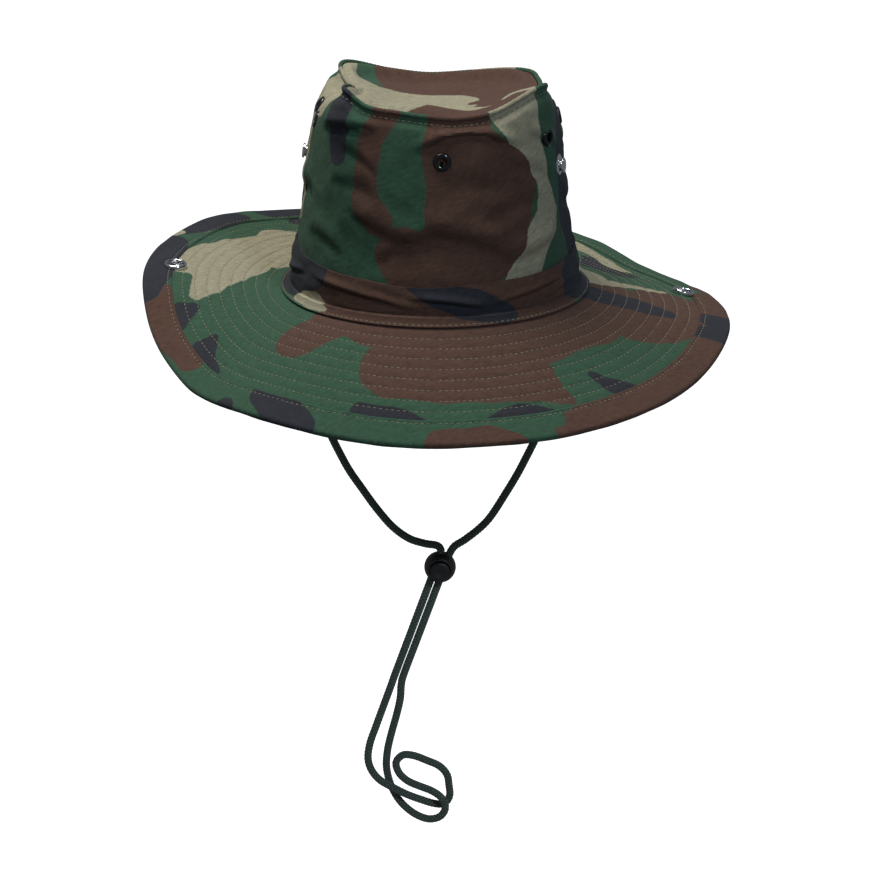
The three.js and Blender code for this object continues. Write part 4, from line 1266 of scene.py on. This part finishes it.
def lockBall():
    # outline turned about the push axis: open bore at the front, closed dome behind
    faceHeight = math.sqrt(lock["radius"] ** 2 - (lock["bore"] + lock["rim"]) ** 2)
    start = math.asin(faceHeight / lock["radius"])
    r, bore = lock["radius"], lock["bore"]
    shell = [(r * math.cos(a), r * math.sin(a)) for a in np.linspace(-math.pi / 2, start, 26)]
    inside = [(bore + 0.15, faceHeight + 0.1), (bore, faceHeight - 0.4), (bore, -5.8), (5.4, -7.3),
              (3.2, -7.5), (3.2, -8.7), (0, -8.7)]
    ball = turnPiece("lockBall", shell + inside, 56, lockMatrix())
    bm = bmesh.new()
    bmesh.ops.create_cube(bm, size=1)
    wide, deep = lock["slotHalf"]
    bmesh.ops.scale(bm, vec=(wide * 2 * mm, deep * 2 * mm, 28 * mm), verts=bm.verts)
    bmesh.ops.bevel(bm, geom=bm.edges, offset=1.6 * mm, offset_type="OFFSET", segments=3, profile=0.5,
                    affect="EDGES", material=-1)
    turn = Matrix((Vector(lockAcross), Vector((0, 1, 0)), -Vector(lockDown))).transposed().to_4x4()
    bmesh.ops.transform(bm, matrix=Matrix.Translation(Vector(cord["lock"]) * mm) @ turn, verts=bm.verts)
    cutter = addPiece("slotCutter", bm)
    cut = ball.modifiers.new("slots", "BOOLEAN")
    cut.object = cutter
    cut.operation = "DIFFERENCE"
    cut.solver = "EXACT"
    shaped = bpy.data.meshes.new_from_object(ball.evaluated_get(bpy.context.evaluated_depsgraph_get()))
    ball.modifiers.clear()
    ball.data = shaped
    bpy.data.objects.remove(cutter)
    dress(ball, lockPlastic, ("cord_lock_barrel",), "cord_lock")


def lockButton():
    r = lock["buttonRadius"]
    outline = [(0, 10.6), (2.6, 10.6), (3.0, 10.9), (4.6, 11.0), (5.5, 10.8), (r, 10.2), (r, -2.6),
               (5.0, -4.0), (0, -4.0)]
    button = turnPiece("lockButton", outline[::-1], 48, lockMatrix())
    dress(button, lockPlastic, ("cord_lock_button",), "lock_button")


# coil behind the button, reaching towards the closed end of the ball
def lockSpring():
    coil = {"radius": 2.3, "wire": 0.3, "start": 4.75, "length": 3.3, "turns": 2.6, "steps": 90,
            "fixedEnd": 8.7}
    bm = bmesh.new()
    x, y, z = cord["lock"]
    bmesh.ops.create_circle(bm, cap_ends=True, segments=10, radius=coil["wire"] * mm)
    bmesh.ops.translate(bm, vec=((x + coil["radius"]) * mm, (y + coil["start"]) * mm, z * mm), verts=bm.verts)
    bmesh.ops.spin(bm, geom=bm.verts[:] + bm.edges[:] + bm.faces[:], cent=(x * mm, y * mm, z * mm),
                   axis=(0, -1, 0), dvec=(0, coil["length"] * mm / coil["steps"], 0),
                   angle=math.tau * coil["turns"], steps=coil["steps"])
    bmesh.ops.recalc_face_normals(bm, faces=bm.faces)
    spring = addPiece("lockSpring", bm, 60)
    dress(spring, steel, ("cord_lock_spring",), "cord_lock")
    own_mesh(spring)


def cordTab(side, way):
    lo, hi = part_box("cord_anchor_" + side.lower())
    bm = bmesh.new()
    bmesh.ops.create_cube(bm, size=1)
    bmesh.ops.subdivide_edges(bm, edges=bm.edges, cuts=13, use_grid_fill=True)
    bmesh.ops.scale(bm, vec=(hi - lo), verts=bm.verts)
    bmesh.ops.translate(bm, vec=(lo + hi) / 2, verts=bm.verts)
    bmesh.ops.smooth_vert(bm, verts=bm.verts, factor=0.5, use_axis_x=True, use_axis_y=True, use_axis_z=True)
    # the cord's end turns in this hollow
    hollow = 3.1 * mm
    pivot = Vector((way * 78.2, -4, 6)) * mm
    for vert in bm.verts:
        reach = vert.co - pivot
        if reach.length < hollow:
            vert.co = pivot + reach.normalized() * hollow
    uvLayer = bm.loops.layers.uv.new("clothUv")
    for face in bm.faces:
        for loop in face.loops:
            loop[uvLayer].uv = (loop.vert.co.y, loop.vert.co.z + loop.vert.co.x)
    tab = addPiece("cordTab" + side, bm)
    dress(tab, oliveTape, ("cord_anchor_" + side.lower(),), "hat")


lockBall()
lockButton()
lockSpring()
cordTab("Left", -1)
cordTab("Right", 1)
print("chin cord")
braidCord()

scene.view_settings.view_transform = "Standard"
bpy.context.view_layer.update()
print("finishing")
